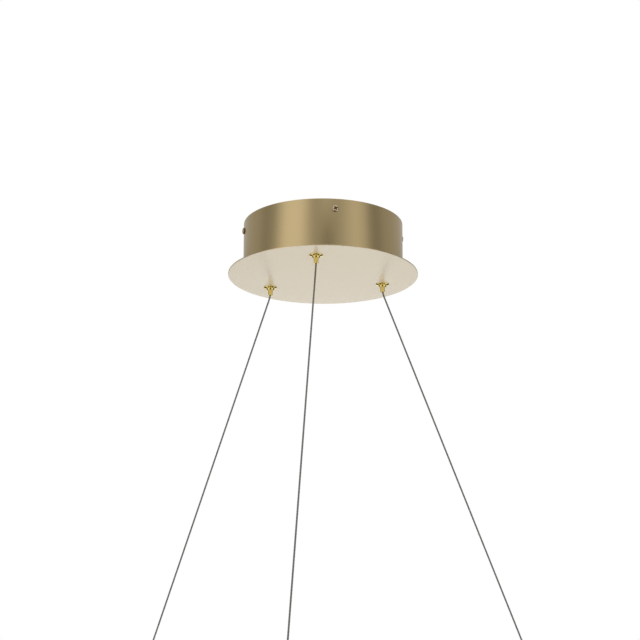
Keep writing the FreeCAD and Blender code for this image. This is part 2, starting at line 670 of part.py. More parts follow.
def terminal_block():
    """Supply terminal: a tower for each pole, with a clamp screw at both sides of each."""
    body = new_body("terminal_block")
    base = new_sketch(body, "XY_Plane", "terminal_base_outline")
    half, tall = "(terminal_poles*terminal_pitch/2)", "((terminal_pitch - terminal_gap)/2)"
    rectangle(base, f"-{half}", half, "-terminal_depth/2", "terminal_depth/2")
    for x in terminal_studs_x():
        circle(base, x, "0", "(terminal_stud_dia + hole_play)/2")
    pad(body, base, "terminal_base")
    towers = new_sketch(body, "XY_Plane", "terminal_towers", "terminal_base")
    entries = new_sketch(body, "XZ_Plane", "terminal_entries")
    for pole in range(count("terminal_poles")):
        middle = terminal_x(pole)
        rectangle(towers, f"{middle} - {tall}", f"{middle} + {tall}",
                  "-terminal_depth/2", "terminal_depth/2")
        circle(entries, middle, "terminal_base/2", "terminal_wire_dia/2")
    pad(body, towers, "terminal_tower - terminal_base")
    wells = new_sketch(body, "XY_Plane", "terminal_wells", "terminal_tower")
    for x, y in terminal_wells():
        circle(wells, x, y, "terminal_screw_dia/2")
    cut(body, wells, "terminal_tower/2")
    cut(body, entries, both_ways=True)
    place(body, y="terminal_offset", z=PLATE_TOP)


def terminal_fixings():
    """Clamp screws in the wells, and the stud and nut that hold the block."""
    screws = new_body("terminal_screws")
    sketch = new_sketch(screws, "XY_Plane", "terminal_screw_circles", "terminal_tower/2")
    for x, y in terminal_wells():
        circle(sketch, x, y, "(terminal_screw_dia - thread_play)/2")
    pad(screws, sketch, "terminal_tower/2 - terminal_screw_recess")
    studs = new_body("terminal_stud")
    circles = new_sketch(studs, "XY_Plane", "terminal_stud_circle")
    nuts = new_body("terminal_nut")
    outlines = new_sketch(nuts, "XY_Plane", "terminal_nut_outline", "terminal_base")
    for x in terminal_studs_x():
        circle(circles, x, "0", "terminal_stud_dia/2")
        hexagon(outlines, x, "0", "terminal_nut_flats")
        circle(outlines, x, "0", "(terminal_stud_dia + thread_play)/2")
    pad(studs, circles, "terminal_stud_length")
    pad(nuts, outlines, "terminal_nut_thick")
    for piece in (screws, studs, nuts):
        place(piece, y="terminal_offset", z=PLATE_TOP)


# Wire grippers, measured from the plate's underside

def gripper_turn(number):
    return f"(gripper_start + {number - 1}*360/gripper_count)"


def at_gripper(piece, number):
    turn = gripper_turn(number)
    radius = "gripper_circle_dia/2"
    place(piece, f"{radius}*cos{turn}", f"{radius}*sin{turn}", PLATE_UNDER, turn)


def gripper_flange(number):
    """Flared cap between the plate and the gripper's collar."""
    bore, waist = "((shank_dia + shank_play)/2)", "((collar_dia + flange_dia)/4)"
    body = turned(f"gripper_flange_{number}", (
        (bore, SHANK_SEAT),
        ("collar_dia/2", SHANK_SEAT),
        (waist, "-(flange_rim + flange_depth)/2"),
        ("flange_dia/2", "-flange_rim"),
        ("flange_dia/2", "0"),
        (bore, "0"),
    ))
    at_gripper(body, number)


def gripper_body(number):
    """Threaded shank with the clamping cone inside, and the collar whose lip holds the nose."""
    at_balls = f"({BALL_CIRCLE} + (ball_dia/2 + ball_play)/cos(cone_angle))"
    lean = "tan(cone_angle)"
    head_bore = "(nose_head_dia/2 + nose_play)"
    body = turned(f"gripper_body_{number}", (
        (NOSE_BORE, "-collar_reach"),
        ("collar_tip_dia/2", "-collar_reach"),
        ("collar_dia/2", SHANK_SEAT),
        ("shank_dia/2", SHANK_SEAT),
        ("shank_dia/2", "shank_top"),
        ("chamber_dia/2", "shank_top"),
        ("chamber_dia/2", f"ball_level + (chamber_dia/2 - {at_balls})/{lean}"),
        (f"{at_balls} - (ball_level - {HEAD_ROOF})*{lean}", HEAD_ROOF),
        (head_bore, HEAD_ROOF),
        (head_bore, HEAD_SEAT),
        (NOSE_BORE, HEAD_SEAT),
    ))
    at_gripper(body, number)


def gripper_plug(number):
    """End plug in the shank, which the spring bears on and the wire passes through."""
    rim = "(chamber_dia/2 - thread_play/2)"
    body = turned(f"gripper_plug_{number}", (
        ("plug_bore_dia/2", PLUG_SEAT),
        (rim, PLUG_SEAT),
        (rim, "shank_top"),
        ("plug_bore_dia/2", "shank_top"),
    ))
    at_gripper(body, number)


def gripper_nose(number):
    """Release nose: the barrel that shows, its head above the lip and the tube under the balls."""
    tube_top = f"({BALL_TOP} - ball_dia)"
    body = turned(f"gripper_nose_{number}", (
        ("nose_bore_dia/2", "-nose_reach"),
        ("nose_dia/2", "-nose_reach"),
        ("nose_dia/2", HEAD_SEAT),
        ("nose_head_dia/2", HEAD_SEAT),
        ("nose_head_dia/2", HEAD_TOP),
        ("nose_tube_dia/2", HEAD_TOP),
        ("nose_tube_dia/2", tube_top),
        ("nose_bore_dia/2", tube_top),
    ))
    at_gripper(body, number)


def gripper_balls(number):
    """Three balls between the wire and the cone, each turned from a plain half hexagon."""
    body = new_body(f"gripper_balls_{number}")
    sketch = new_sketch(body, "XZ_Plane", f"ball_{number}_section")
    out = f"({BALL_CIRCLE} + ball_dia/2*cos(30))"
    outline(sketch, (
        (BALL_CIRCLE, f"{BALL_TOP} - ball_dia"),
        (out, f"{BALL_TOP} - ball_dia*3/4"),
        (out, f"{BALL_TOP} - ball_dia/4"),
        (BALL_CIRCLE, BALL_TOP),
    ))
    ball = revolve(body, sketch, "Edge1")
    repeat(body, [ball], "ball_count")
    at_gripper(body, number)


def gripper_spring(number):
    """Spring between the balls and the end plug, as the plain sleeve that its turns fill."""
    inside = "(spring_dia/2 - spring_wire_dia)"
    body = turned(f"gripper_spring_{number}", (
        (inside, BALL_TOP),
        ("spring_dia/2", BALL_TOP),
        ("spring_dia/2", PLUG_SEAT),
        (inside, PLUG_SEAT),
    ))
    at_gripper(body, number)


def ring_of(label, radius, seat, shape_of, thick, drop, turn):
    """The same upright piece at each gripper or anchor, as separate solids of one node."""
    body = new_body(label)
    sketch = new_sketch(body, "XY_Plane", f"{label}_outline", seat)
    shape_of(sketch, radius)
    one = pad(body, sketch, thick)
    repeat(body, [one], "gripper_count")
    place(body, z=drop, turn=turn)


def gripper_fixings():
    """Nuts that clamp the grippers to the plate, and the caps crimped on the wires' tails."""
    radius = "gripper_circle_dia/2"

    def nut(sketch, x):
        hexagon(sketch, x, "0", "gripper_nut_flats")
        circle(sketch, x, "0", "(shank_dia + thread_play)/2")

    def cap(sketch, x):
        circle(sketch, x, "0", "crimp_dia/2")
    ring_of("gripper_nuts", radius, "plate_sheet", nut, "gripper_nut_thick", PLATE_UNDER, "gripper_start")
    ring_of("wire_crimps", radius, TAIL_TOP, cap, "crimp_length", PLATE_UNDER, "gripper_start")


# Suspension wires

def wire_tail(number):
    """The wire from its bend under the nose up through the gripper into the canopy."""
    body = turned(f"wire_tail_{number}", (
        ("0", WIRE_TOP), ("wire_dia/2", WIRE_TOP), ("wire_dia/2", TAIL_TOP), ("0", TAIL_TOP),
    ))
    at_gripper(body, number)


def free_wire(number):
    """Straight wire from its bend under the nose to its bend above the ring.

    It is a leaning rod with something to spare at both ends, cut level there by a box.
    """
    label = f"wire_{number}"
    reach = f"sqrt({WIRE_SPREAD}^2 + {WIRE_DROP}^2)"
    spare = "(4*wire_dia)"
    rod = doc.addObject("Part::Cylinder", f"{label}_rod")
    bind(rod, "Radius", "wire_dia/2")
    bind(rod, "Height", f"{reach} + 2*{spare}")
    rod.Placement.Rotation = FreeCAD.Rotation(FreeCAD.Vector(0, 1, 0), 180 - value(WIRE_LEAN))
    bind(rod, "Placement.Rotation.Angle", f"180 deg - {WIRE_LEAN}")
    bind(rod, "Placement.Base.x", f"-{spare}*sin({WIRE_LEAN})")
    bind(rod, "Placement.Base.z", f"{spare}*cos({WIRE_LEAN})")
    span = doc.addObject("Part::Box", f"{label}_span")
    bind(span, "Length", f"{WIRE_SPREAD} + 2*{spare}")
    bind(span, "Width", f"2*{spare}")
    bind(span, "Height", f"{WIRE_DROP} - wire_end_gap")
    bind(span, "Placement.Base.x", f"-{spare}")
    bind(span, "Placement.Base.y", f"-{spare}")
    bind(span, "Placement.Base.z", f"-({WIRE_DROP} - wire_end_gap)")
    wire = doc.addObject("Part::Common", label)
    wire.Label = label
    wire.Base = rod
    wire.Tool = span
    turn = gripper_turn(number)
    radius = "gripper_circle_dia/2"
    place(wire, f"{radius}*cos{turn}", f"{radius}*sin{turn}", f"{PLATE_UNDER} + {WIRE_TOP}",
          f"{turn} + {WIRE_SWING}")
    nodes.append(wire)
    doc.recompute()
    length = value(reach)
    section = math.pi * value("wire_dia/2") ** 2
    share = wire.Shape.Volume / (section * length)
    print(f"{label}: {length:.1f} mm between bends, volume {share:.4f} of nominal")


# Lit ring, measured from its top face

def splice_circles(body, name, radius, level):
    """Circles at both sides of the seam, facing outwards, at a level from the ring's inner face."""
    sketch = new_sketch(body, "YZ_Plane", name, f"ring_dia/2 - ring_width + ({level})")
    for side in ("-", ""):
        circle(sketch, f"{side}splice_screw_place", "-ring_top_wall - ring_chamber/2", radius)
    return sketch


def ring_housing():
    """Rolled aluminium extrusion with a closed chamber above the open light channel."""
    body = new_body("ring_housing")
    sketch = new_sketch(body, "XZ_Plane", "ring_section")
    outer, inner = "ring_dia/2", "(ring_dia/2 - ring_width)"
    outline(sketch, (
        (inner, "-ring_height"), (CHANNEL_IN, "-ring_height"), (CHANNEL_IN, CHANNEL_ROOF),
        (CHANNEL_OUT, CHANNEL_ROOF), (CHANNEL_OUT, "-ring_height"), (outer, "-ring_height"),
        (outer, "0"), (inner, "0"),
    ))
    rectangle(sketch, CHANNEL_IN, CHANNEL_OUT, CHAMBER_FLOOR, "-ring_top_wall")
    revolve(body, sketch)
    seam = new_sketch(body, "XY_Plane", "ring_seam_slit")
    rectangle(seam, f"{inner} - cut_past", f"{outer} + cut_past", "-ring_seam/2", "ring_seam/2")
    cut(body, seam, both_ways=True)
    anchors = new_sketch(body, "XY_Plane", "anchor_hole")
    turn = "(180/gripper_count)"
    circle(anchors, f"{ANCHOR_CIRCLE}*cos{turn}", f"{ANCHOR_CIRCLE}*sin{turn}",
           "(anchor_shank_dia + shank_play)/2")
    hole = cut(body, anchors, "ring_top_wall")
    repeat(body, [hole], "gripper_count")
    holes = splice_circles(body, "splice_holes", "(splice_screw_dia + hole_play)/2", "-cut_past")
    cut(body, holes, "ring_side_wall + 2*cut_past", turned_round=True)
    place(body, z="-ring_drop", turn=SEAM_ANGLE)


def ring_diffuser():
    """Opal cover pressed into the channel's mouth, flush with the ring's lower face."""
    body = new_body("ring_diffuser")
    sketch = new_sketch(body, "XZ_Plane", "diffuser_section")
    rectangle(sketch, CHANNEL_IN, CHANNEL_OUT, "-ring_height", "diffuser_thick - ring_height")
    revolve(body, sketch)
    seam = new_sketch(body, "XY_Plane", "diffuser_seam_slit")
    rectangle(seam, "ring_dia/2 - ring_width", "ring_dia/2", "-ring_seam/2", "ring_seam/2")
    cut(body, seam, both_ways=True)
    place(body, z="-ring_drop", turn=SEAM_ANGLE)


def light_strip():
    strip = new_body("led_strip")
    sketch = new_sketch(strip, "XZ_Plane", "strip_section")
    half = "strip_width/2"
    rectangle(sketch, f"{ANCHOR_CIRCLE} - {half}", f"{ANCHOR_CIRCLE} + {half}",
              f"{CHANNEL_ROOF} - strip_thick", CHANNEL_ROOF)
    revolve(strip, sketch, angle="360 - strip_gap", both_ways=True)
    place(strip, z="-ring_drop", turn=f"{SEAM_ANGLE} + 180")
    chips = new_body("led_chips")
    sketch = new_sketch(chips, "XY_Plane", "chip_outline", f"{CHANNEL_ROOF} - strip_thick")
    rectangle(sketch, f"{ANCHOR_CIRCLE} - chip_width/2", f"{ANCHOR_CIRCLE} + chip_width/2",
              "-chip_length/2", "chip_length/2")
    one = pad(chips, sketch, "chip_thick", down=True)
    repeat(chips, [one], "chip_count")
    place(chips, z="-ring_drop", turn=f"{SEAM_ANGLE} + 180/chip_count")


def ring_splice():
    """Curved bar in the chamber that joins the extrusion's two ends."""
    body = new_body("ring_splice")
    sketch = new_sketch(body, "XZ_Plane", "splice_section")
    rectangle(sketch, f"{CHANNEL_IN} + splice_play", f"{CHANNEL_OUT} - splice_play",
              f"{CHAMBER_FLOOR}", "-ring_top_wall - splice_play")
    revolve(body, sketch, angle="splice_angle", both_ways=True)
    holes = splice_circles(body, "splice_bores", "(splice_screw_dia + thread_play)/2", "0")
    cut(body, holes, "splice_screw_length + cut_past", turned_round=True)
    place(body, z="-ring_drop", turn=SEAM_ANGLE)
    screws = new_body("splice_screws")
    shanks = splice_circles(screws, "splice_screw_shanks", "splice_screw_dia/2", "0")
    pad(screws, shanks, "splice_screw_length")
    sockets = new_sketch(screws, "YZ_Plane", "splice_screw_sockets", "ring_dia/2 - ring_width")
    for side in ("-", ""):
        hexagon(sockets, f"{side}splice_screw_place", "-ring_top_wall - ring_chamber/2",
                "splice_screw_dia/2")
    cut(screws, sockets, "splice_screw_length/3", turned_round=True)
    place(screws, z="-ring_drop", turn=SEAM_ANGLE)


def ring_anchor(number):
    """Turned anchor on the ring, hollow for the wire's ferrule."""
    bore, seat = "anchor_bore_dia/2", "(ferrule_dia/2 + ferrule_play)"
    body = turned(f"ring_anchor_{number}", (
        (bore, "-anchor_seat"),
        (seat, "-anchor_seat"),
        (seat, "-anchor_shank_length"),
        ("anchor_shank_dia/2", "-anchor_shank_length"),
        ("anchor_shank_dia/2", "0"),
        ("anchor_base_dia/2", "0"),
        ("anchor_base_dia/2", "anchor_base_thick"),
        ("anchor_waist_dia/2", "anchor_height/3"),
        ("anchor_tip_dia/2", "anchor_height"),
        (bore, "anchor_height"),
    ))
    turn = f"({gripper_turn(number)} + ring_turn)"
    place(body, f"{ANCHOR_CIRCLE}*cos{turn}", f"{ANCHOR_CIRCLE}*sin{turn}", "-ring_drop", turn)


def anchor_fittings():
    """Nuts in the chamber, the wires' swaged ferrules and the wires' last straight ends."""
    foot = "(-anchor_seat - ferrule_length)"
    level, turn = "-ring_drop", ANCHOR_START

    def nut(sketch, x):
        hexagon(sketch, x, "0", "anchor_nut_flats")
        circle(sketch, x, "0", "(anchor_shank_dia + thread_play)/2")

    def sleeve(sketch, x):
        circle(sketch, x, "0", "ferrule_dia/2")
        circle(sketch, x, "0", "wire_dia/2")

    def end(sketch, x):
        circle(sketch, x, "0", "wire_dia/2")
    ring_of("anchor_nuts", ANCHOR_CIRCLE, "-ring_top_wall - anchor_nut_thick", nut,
            "anchor_nut_thick", level, turn)
    ring_of("wire_ferrules", ANCHOR_CIRCLE, foot, sleeve, "ferrule_length", level, turn)
    ring_of("wire_ends", ANCHOR_CIRCLE, foot, end, f"anchor_height + anchor_lead - {foot}", level, turn)


def build():
    ceiling_bracket()
    tab_nuts()
    side_screws()
    earth_terminal()
    canopy_drum()
    canopy_plate()
    plate_studs()
    plate_nuts()
    driver_base()
    driver_cover()
    driver_caps()
    terminal_block()
    terminal_fixings()
    gripper_fixings()
    for number in range(1, count("gripper_count") + 1):
        gripper_flange(number)
        gripper_body(number)
        gripper_plug(number)
        gripper_nose(number)
        gripper_balls(number)
        gripper_spring(number)
        wire_tail(number)
        free_wire(number)
        ring_anchor(number)
    ring_housing()
    ring_diffuser()
    light_strip()
    ring_splice()
    anchor_fittings()
    doc.recompute()


def check_and_write():
    faulty = [thing.Label for thing in doc.Objects if {"Invalid", "Error"} & set(thing.State)]
    if faulty:
        raise RuntimeError(f"failed objects: {faulty}")
    for piece in nodes:
        if piece.Shape.isNull() or not piece.Shape.isValid() or not piece.Shape.Solids:
            raise RuntimeError(f"bad shape: {piece.Label}")
    os.makedirs("parts", exist_ok=True)
    for piece in nodes:
        piece.Shape.exportStep(f"parts/{piece.Label}.step")
    print(len(nodes), "nodes,", sum(len(piece.Shape.Solids) for piece in nodes), "solids")


build()
check_and_write()
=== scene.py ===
"""Ring chandelier: ceiling canopy, three wire grippers, wire ropes and a lit ring.

Dresses the packed CAD frame. Metres, +Z up, the origin on the ceiling plane on the canopy's axis.
"""

import json
import math

import bpy
import numpy as np
from bpy.props import FloatProperty, FloatVectorProperty, IntProperty, PointerProperty
from mathutils import Matrix, Vector


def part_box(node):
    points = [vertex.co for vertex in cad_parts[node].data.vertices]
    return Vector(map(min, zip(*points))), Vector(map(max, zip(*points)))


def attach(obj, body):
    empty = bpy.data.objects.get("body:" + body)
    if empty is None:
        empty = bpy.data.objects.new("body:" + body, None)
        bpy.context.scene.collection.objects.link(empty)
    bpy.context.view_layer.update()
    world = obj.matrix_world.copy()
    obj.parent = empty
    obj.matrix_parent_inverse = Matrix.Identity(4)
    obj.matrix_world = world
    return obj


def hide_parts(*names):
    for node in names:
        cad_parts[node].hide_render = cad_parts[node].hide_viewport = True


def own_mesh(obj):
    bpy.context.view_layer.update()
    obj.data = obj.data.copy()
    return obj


bl_info = {
    "name": "Ring Chandelier",
    "version": (1, 0, 0),
    "blender": (4, 5, 0),
    "location": "View3D > Sidebar > Chandelier",
    "description": "Dresses a ring chandelier: canopy, wire grippers, ropes and lit ring",
    "category": "Object",
}

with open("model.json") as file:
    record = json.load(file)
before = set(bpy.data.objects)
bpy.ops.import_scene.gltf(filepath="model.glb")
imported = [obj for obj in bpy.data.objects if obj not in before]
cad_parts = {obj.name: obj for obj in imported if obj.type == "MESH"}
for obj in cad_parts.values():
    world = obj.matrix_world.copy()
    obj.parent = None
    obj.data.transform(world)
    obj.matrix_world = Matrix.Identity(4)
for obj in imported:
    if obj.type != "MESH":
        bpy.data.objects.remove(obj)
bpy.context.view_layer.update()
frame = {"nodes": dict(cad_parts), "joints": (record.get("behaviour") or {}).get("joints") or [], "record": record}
NUMBERS = (1, 2, 3)  # grippers, wires and anchors
MM = 0.001
FINE = 0.1 * MM      # a hardly broken edge


def top(node):
    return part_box(node)[1].z


def foot(node):
    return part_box(node)[0].z


def reach(node):
    """How far a node round the Z axis reaches along X."""
    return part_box(node)[1].x


def across(node):
    low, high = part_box(node)
    return high.x - low.x


def tall(node):
    return top(node) - foot(node)


def amount(name, description, default, **more):
    return FloatProperty(name=name, description=description, default=default, min=0, **more)


def length(name, description, default):
    return amount(name, description, default, unit="LENGTH", precision=5)


def mm(name, description, millimetres):
    return length(name, description, millimetres * MM)


def count(name, description, default):
    return IntProperty(name=name, description=description, default=default, min=1)


def angle(name, description, degrees):
    return FloatProperty(name=name, description=description, default=math.radians(degrees),
                         unit="ROTATION", precision=4)


def colour(name, description, *default):
    return FloatVectorProperty(name=name, description=description, default=default, size=3,
                               min=0, max=1, subtype="COLOR")


class CanopySizes(bpy.types.PropertyGroup):
    """Sizes of the ceiling canopy"""

    drum_radius: length("Drum radius", "Outside of the drum", reach("canopy_drum"))
    drum_wall: mm("Drum wall", "Sheet of the drum", 1.2)
    drum_foot: length("Drum height", "Ceiling to the drum's lower edge", -foot("canopy_drum"))
    lug_width: mm("Lug width", "Inner lug that the plate is bolted to", 18)
    lug_reach: mm("Lug reach", "From the drum's wall inwards", 15)
    lug_turn: angle("Lug direction", "Direction of the first lug", -44.4)
    plate_radius: length("Plate radius", "Cover plate", reach("canopy_plate"))
    plate_under: length("Plate height", "Ceiling to the plate's underside", -foot("canopy_plate"))
    plate_sheet: mm("Plate sheet", "Thickness of the plate", 1.5)
    edge: mm("Edge rounding", "Rounding of the sheets' edges", 0.5)
    screw_drop: mm("Screw drop", "Ceiling to the side screws' axes", 12)
    screw_head: mm("Screw head", "Radius of the pan head", 3.8)
    screw_rise: mm("Head height", "Height of the pan head", 2.4)
    screw_shank: mm("Screw shank", "Radius of the side screw", 1.9)
    screw_length: mm("Screw length", "Under its head", 10)
    recess_width: mm("Recess width", "Arm of the cross recess", 1.2)
    recess_span: mm("Recess span", "Cross recess, end to end", 4.6)
    recess_turn: angle("Recess direction", "How far the cross is turned", 28)
    recess_depth: mm("Recess depth", "Cross recess at its middle", 2.3)
    segments: count("Segments", "Faces round the drum and the plate", 256)


class GripperSizes(bpy.types.PropertyGroup):
    """Sizes of a wire gripper, from the plate's underside"""

    flange_radius: length("Cap radius", "Cap under the plate", across("gripper_flange_1") / 2)
    flange_depth: mm("Cap seat", "Plate to the collar's shoulder", 1.4)
    flange_lip: mm("Cap lip", "Cap round the collar", 1.6)
    flange_rim: mm("Cap rim", "Cap at its rim", 0.6)
    collar_radius: mm("Collar radius", "Collar at the cap", 4.6)
    tip_radius: mm("Tip radius", "Collar at its lower end", 3.4)
    collar_reach: mm("Collar reach", "Plate to the collar's end", 3.7)
    shank_radius: mm("Shank radius", "Threaded shank", 4)
    shank_top: mm("Shank top", "Shank above the plate's underside", 13)
    thread_pitch: mm("Thread pitch", "Turn to turn", 1)
    thread_depth: mm("Thread depth", "Crest to root", 0.45)
    chamber: mm("Chamber radius", "Spring chamber", 3)
    cone_top: mm("Cone top", "Chamber's foot, above the plate's underside", 10.6)
    cone_foot: mm("Cone foot", "Above the collar's end", 3)
    nose_radius: mm("Nose radius", "Release nose", 2.7)
    nose_reach: mm("Nose reach", "Plate to the nose's end", 9.9)
    nose_bore: mm("Nose bore", "Way for the wire", 1.25)
    nose_head: mm("Nose head", "Radius of the head behind the collar's lip", 3.1)
    nose_lip: mm("Collar lip", "Height of the lip that holds the head", 0.6)
    tube_radius: mm("Tube radius", "Tube that lifts the balls", 1.8)
    tube_top: mm("Tube top", "Above the plate's underside", 1.85)
    travel: mm("Travel", "How far the nose presses in", 1.6)
    ball_radius: mm("Ball radius", "Clamping ball", 0.75)
    ball_offset: mm("Ball offset", "From the axis to a ball's inner side", 1.03)
    ball_level: mm("Ball level", "Ball centres above the plate's underside", 2.6)
    spring_radius: mm("Spring radius", "To the middle of its wire", 2.0)
    spring_wire: mm("Spring wire", "Radius of its wire", 0.3)
    spring_turns: count("Spring turns", "Turns of the spring", 7)
    spring_low: mm("Spring foot", "Above the plate's underside", 3.35)
    spring_high: mm("Spring head", "Above the plate's underside", 10.5)


class RopeSizes(bpy.types.PropertyGroup):
    """Sizes of the wire ropes"""

    radius: mm("Rope radius", "Outside of the strands", 1.0)
    strands: count("Strands", "Outer strands", 6)
    lay: mm("Lay", "Length of a strand's full turn", 24)
    step: mm("Step", "Between rings of the mesh", 1.5)
    hidden_top: mm("Start", "Rope inside the nose", 4)
    bend_below: mm("Upper bend", "Below the nose", 1.0)
    bend_above: mm("Lower bend", "Above the anchor", 0.6)
    hidden_end: mm("End", "Rope inside the anchor", 6)
    straight: mm("Straight end", "Straight wire next to a bend", 12)
    tail_foot: mm("Tail foot", "Above the nose's end", 0.6)
    tail_top: length("Tail top", "Ceiling to the tail's cap", -foot("wire_crimps"))
    tail_end: mm("Tail end", "Inside the cap", 1)


class RingSizes(bpy.types.PropertyGroup):
    """Sizes of the lit ring"""

    radius: length("Ring radius", "Outside of the ring", reach("ring_housing"))
    width: mm("Ring width", "Section across", 20)
    top: length("Ring top", "Ceiling to the ring's top face", -top("ring_housing"))
    height: length("Ring height", "Section, top to bottom", tall("ring_housing"))
    side_wall: mm("Side wall", "Extrusion's side walls", 1.5)
    top_wall: mm("Top wall", "Extrusion's top wall", 2)
    chamber: mm("Chamber", "Height of the closed upper chamber", 11)
    web: mm("Web", "Between the chamber and the light channel", 1.5)
    edge: mm("Edge rounding", "Rounding of the extrusion's edges", 0.8)
    seam: mm("Seam", "Width of the seam where the ring closes", 0.3)
    seam_turn: angle("Seam direction", "Direction of the seam", -45.6)
    diffuser: mm("Diffuser", "Thickness of the opal cover", 3)
    anchor_height: mm("Anchor height", "Anchor above the ring", 8.5)
    anchor_base: mm("Anchor base", "Radius of its base", 6)
    anchor_rim: mm("Anchor rim", "Height of its base", 1.2)
    anchor_tip: mm("Anchor tip", "Radius of its tip", 3)
    anchor_waist: mm("Anchor waist", "Radius where the stem starts", 4.2)
    anchor_bore: mm("Anchor bore", "Way for the wire", 1.3)
    anchor_shank: mm("Anchor shank", "Radius of its shank", 3)
    anchor_depth: mm("Shank length", "Shank below the ring's top face", 8.5)
    ferrule_seat: mm("Ferrule seat", "Radius of the shank's hollow for the wire's ferrule", 2.4)
    seat_depth: mm("Seat depth", "Ring's top face to the ferrule's seat", 2)
    chip_circle: mm("Chip circle", "Radius of the row of light chips", 390)
    gel: mm("Gel", "Half of a light chip's yellow gel", 0.9)
    segments: count("Segments", "Faces round the ring", 384)


class FinishColours(bpy.types.PropertyGroup):
    """Colours of the finishes"""

    brass: colour("Champagne brass", "Drum and ring", 0.555, 0.437, 0.236)
    gold: colour("Polished gold", "Grippers", 0.83, 0.665, 0.23)
    enamel: colour("Plate enamel", "Underside of the cover plate", 0.65, 0.578, 0.448)
    steel: colour("Wire steel", "Wire ropes", 0.24, 0.235, 0.225)
    screw: colour("Dark brass", "Side screws", 0.54, 0.455, 0.31)
    zinc: colour("Zinc plating", "Bracket, studs, nuts and screws", 0.62, 0.63, 0.66)
    white_plastic: colour("White plastic", "Driver", 0.74, 0.74, 0.71)
    cream_plastic: colour("Cream plastic", "Supply terminal", 0.75, 0.72, 0.62)
    opal: colour("Opal acrylic", "Diffuser", 0.86, 0.85, 0.82)
    surround: colour("Surroundings", "What metal sees round the object", 1.0, 0.98, 0.95)


class StageSettings(bpy.types.PropertyGroup):
    """Camera, lamps and surroundings"""

    camera_turn: angle("Camera direction", "Round the object, from the front", -8.5)
    camera_rise: angle("Camera rise", "Above the horizon", -17.96)
    camera_distance: length("Camera distance", "To the plate's underside", 2.486)
    camera_yaw: angle("Camera yaw", "Right of the canopy's axis", -0.08)
    camera_pitch: angle("Camera pitch", "Above the horizon", 16.78)
    camera_roll: angle("Camera roll", "About the line of sight", 0.22)
    lens: amount("Lens", "Focal length on a 36 mm sensor", 120.54, subtype="DISTANCE_CAMERA")
    floor: length("Floor", "Ceiling to the floor", 2.6)
    floor_glow: amount("Floor glow", "Lifts the floor to white where it's seen", 0.45)
    bowl: length("Bowl", "Radius of the surroundings that gloss sees", 2.55)
    world: amount("World", "Light of the surroundings on the object", 0.62)
    key: amount("Key lamp", "Soft lamp at the camera's left", 55, unit="POWER")
    low: amount("Low lamp", "Soft lamp under the canopy", 25, unit="POWER")


# Meshes from grids of points

def rounded(corners, steps=4):
    """A closed outline with its corners rounded. Each corner is (x, y, cut). The cut is taken off
    both sides of the corner c, and the curve (1-s)^2 a + 2 s (1-s) c + s^2 b joins the ends a
    and b, for s from 0 to 1."""
    data = np.array(corners, float)
    points, cuts = data[:, :2], data[:, 2:]
    back, on = np.roll(points, 1, 0) - points, np.roll(points, -1, 0) - points
    a = (points + back / np.linalg.norm(back, axis=1, keepdims=True) * cuts)[:, None]
    b = (points + on / np.linalg.norm(on, axis=1, keepdims=True) * cuts)[:, None]
    s = np.linspace(0, 1, steps + 1)[None, :, None]
    curve = ((1 - s) ** 2 * a + 2 * s * (1 - s) * points[:, None] + s**2 * b).reshape(-1, 2)
    return curve[np.linalg.norm(curve - np.roll(curve, 1, 0), axis=1) > 1e-8]


def turned(profile, angles):
    """A profile of (r, z) turned about Z: (r cos t, r sin t, z) for each angle t."""
    t = np.asarray(angles, float)[None]
    r, z = profile[:, :1], profile[:, 1:]
    return np.stack([r * np.cos(t), r * np.sin(t), z + 0 * t], -1)


def circle(sides, start=0.0):
    """Angles spread evenly round a full turn."""
    return start + np.linspace(0, 2 * math.pi, sides, endpoint=False)


def moved(points, turn=0.0, x=0.0, y=0.0, z=0.0):
    """The points turned about Z, then shifted."""
    c, s = math.cos(turn), math.sin(turn)
    spin = np.array([[c, s, 0], [-s, c, 0], [0, 0, 1]])
    return points @ spin + np.array([x, y, z])


def slab(outline, low, high, cut):
    """A flat plate with softened edges: the outline at four levels, closed at its middle. The
    levels nearest the faces are drawn in towards the middle by the cut."""
    middle = outline.mean(0)
    inset = outline + (middle - outline) / np.linalg.norm(middle - outline, axis=1,
                                                          keepdims=True) * cut
    rings = ((middle + 0 * outline, low), (inset, low), (outline, low + cut),
             (outline, high - cut), (inset, high), (middle + 0 * outline, high))
    return np.stack([np.column_stack([ring, np.full(len(ring), level)]) for ring, level in rings])


def faces_of(points, closed, inside_out):
    """Quads between neighbouring rows and columns of a grid. Columns always close into a loop,
    rows close where asked, and a row drawn to one point is a pole with triangles round it."""
    rows, columns = points.shape[:2]
    index = np.arange(rows * columns).reshape(rows, columns)
    pole = np.ptp(points, axis=1).max(-1) < 1e-9
    index[pole] = index[pole][:, :1]
    if closed:
        index = np.vstack([index, index[:1]])
    beside = np.roll(index, -1, axis=1)
    quads = np.stack([index[:-1], index[1:], beside[1:], beside[:-1]], -1).reshape(-1, 4)
    place = points.reshape(-1, 3)
    place = place - place.mean(0)
    a, b, c, d = (place[quads[:, k]] for k in range(4))
    volume = np.einsum("ij,ij->", a, np.cross(b, c)) + np.einsum("ij,ij->", a, np.cross(c, d))
    return quads[:, ::-1] if (volume < 0) != inside_out else quads


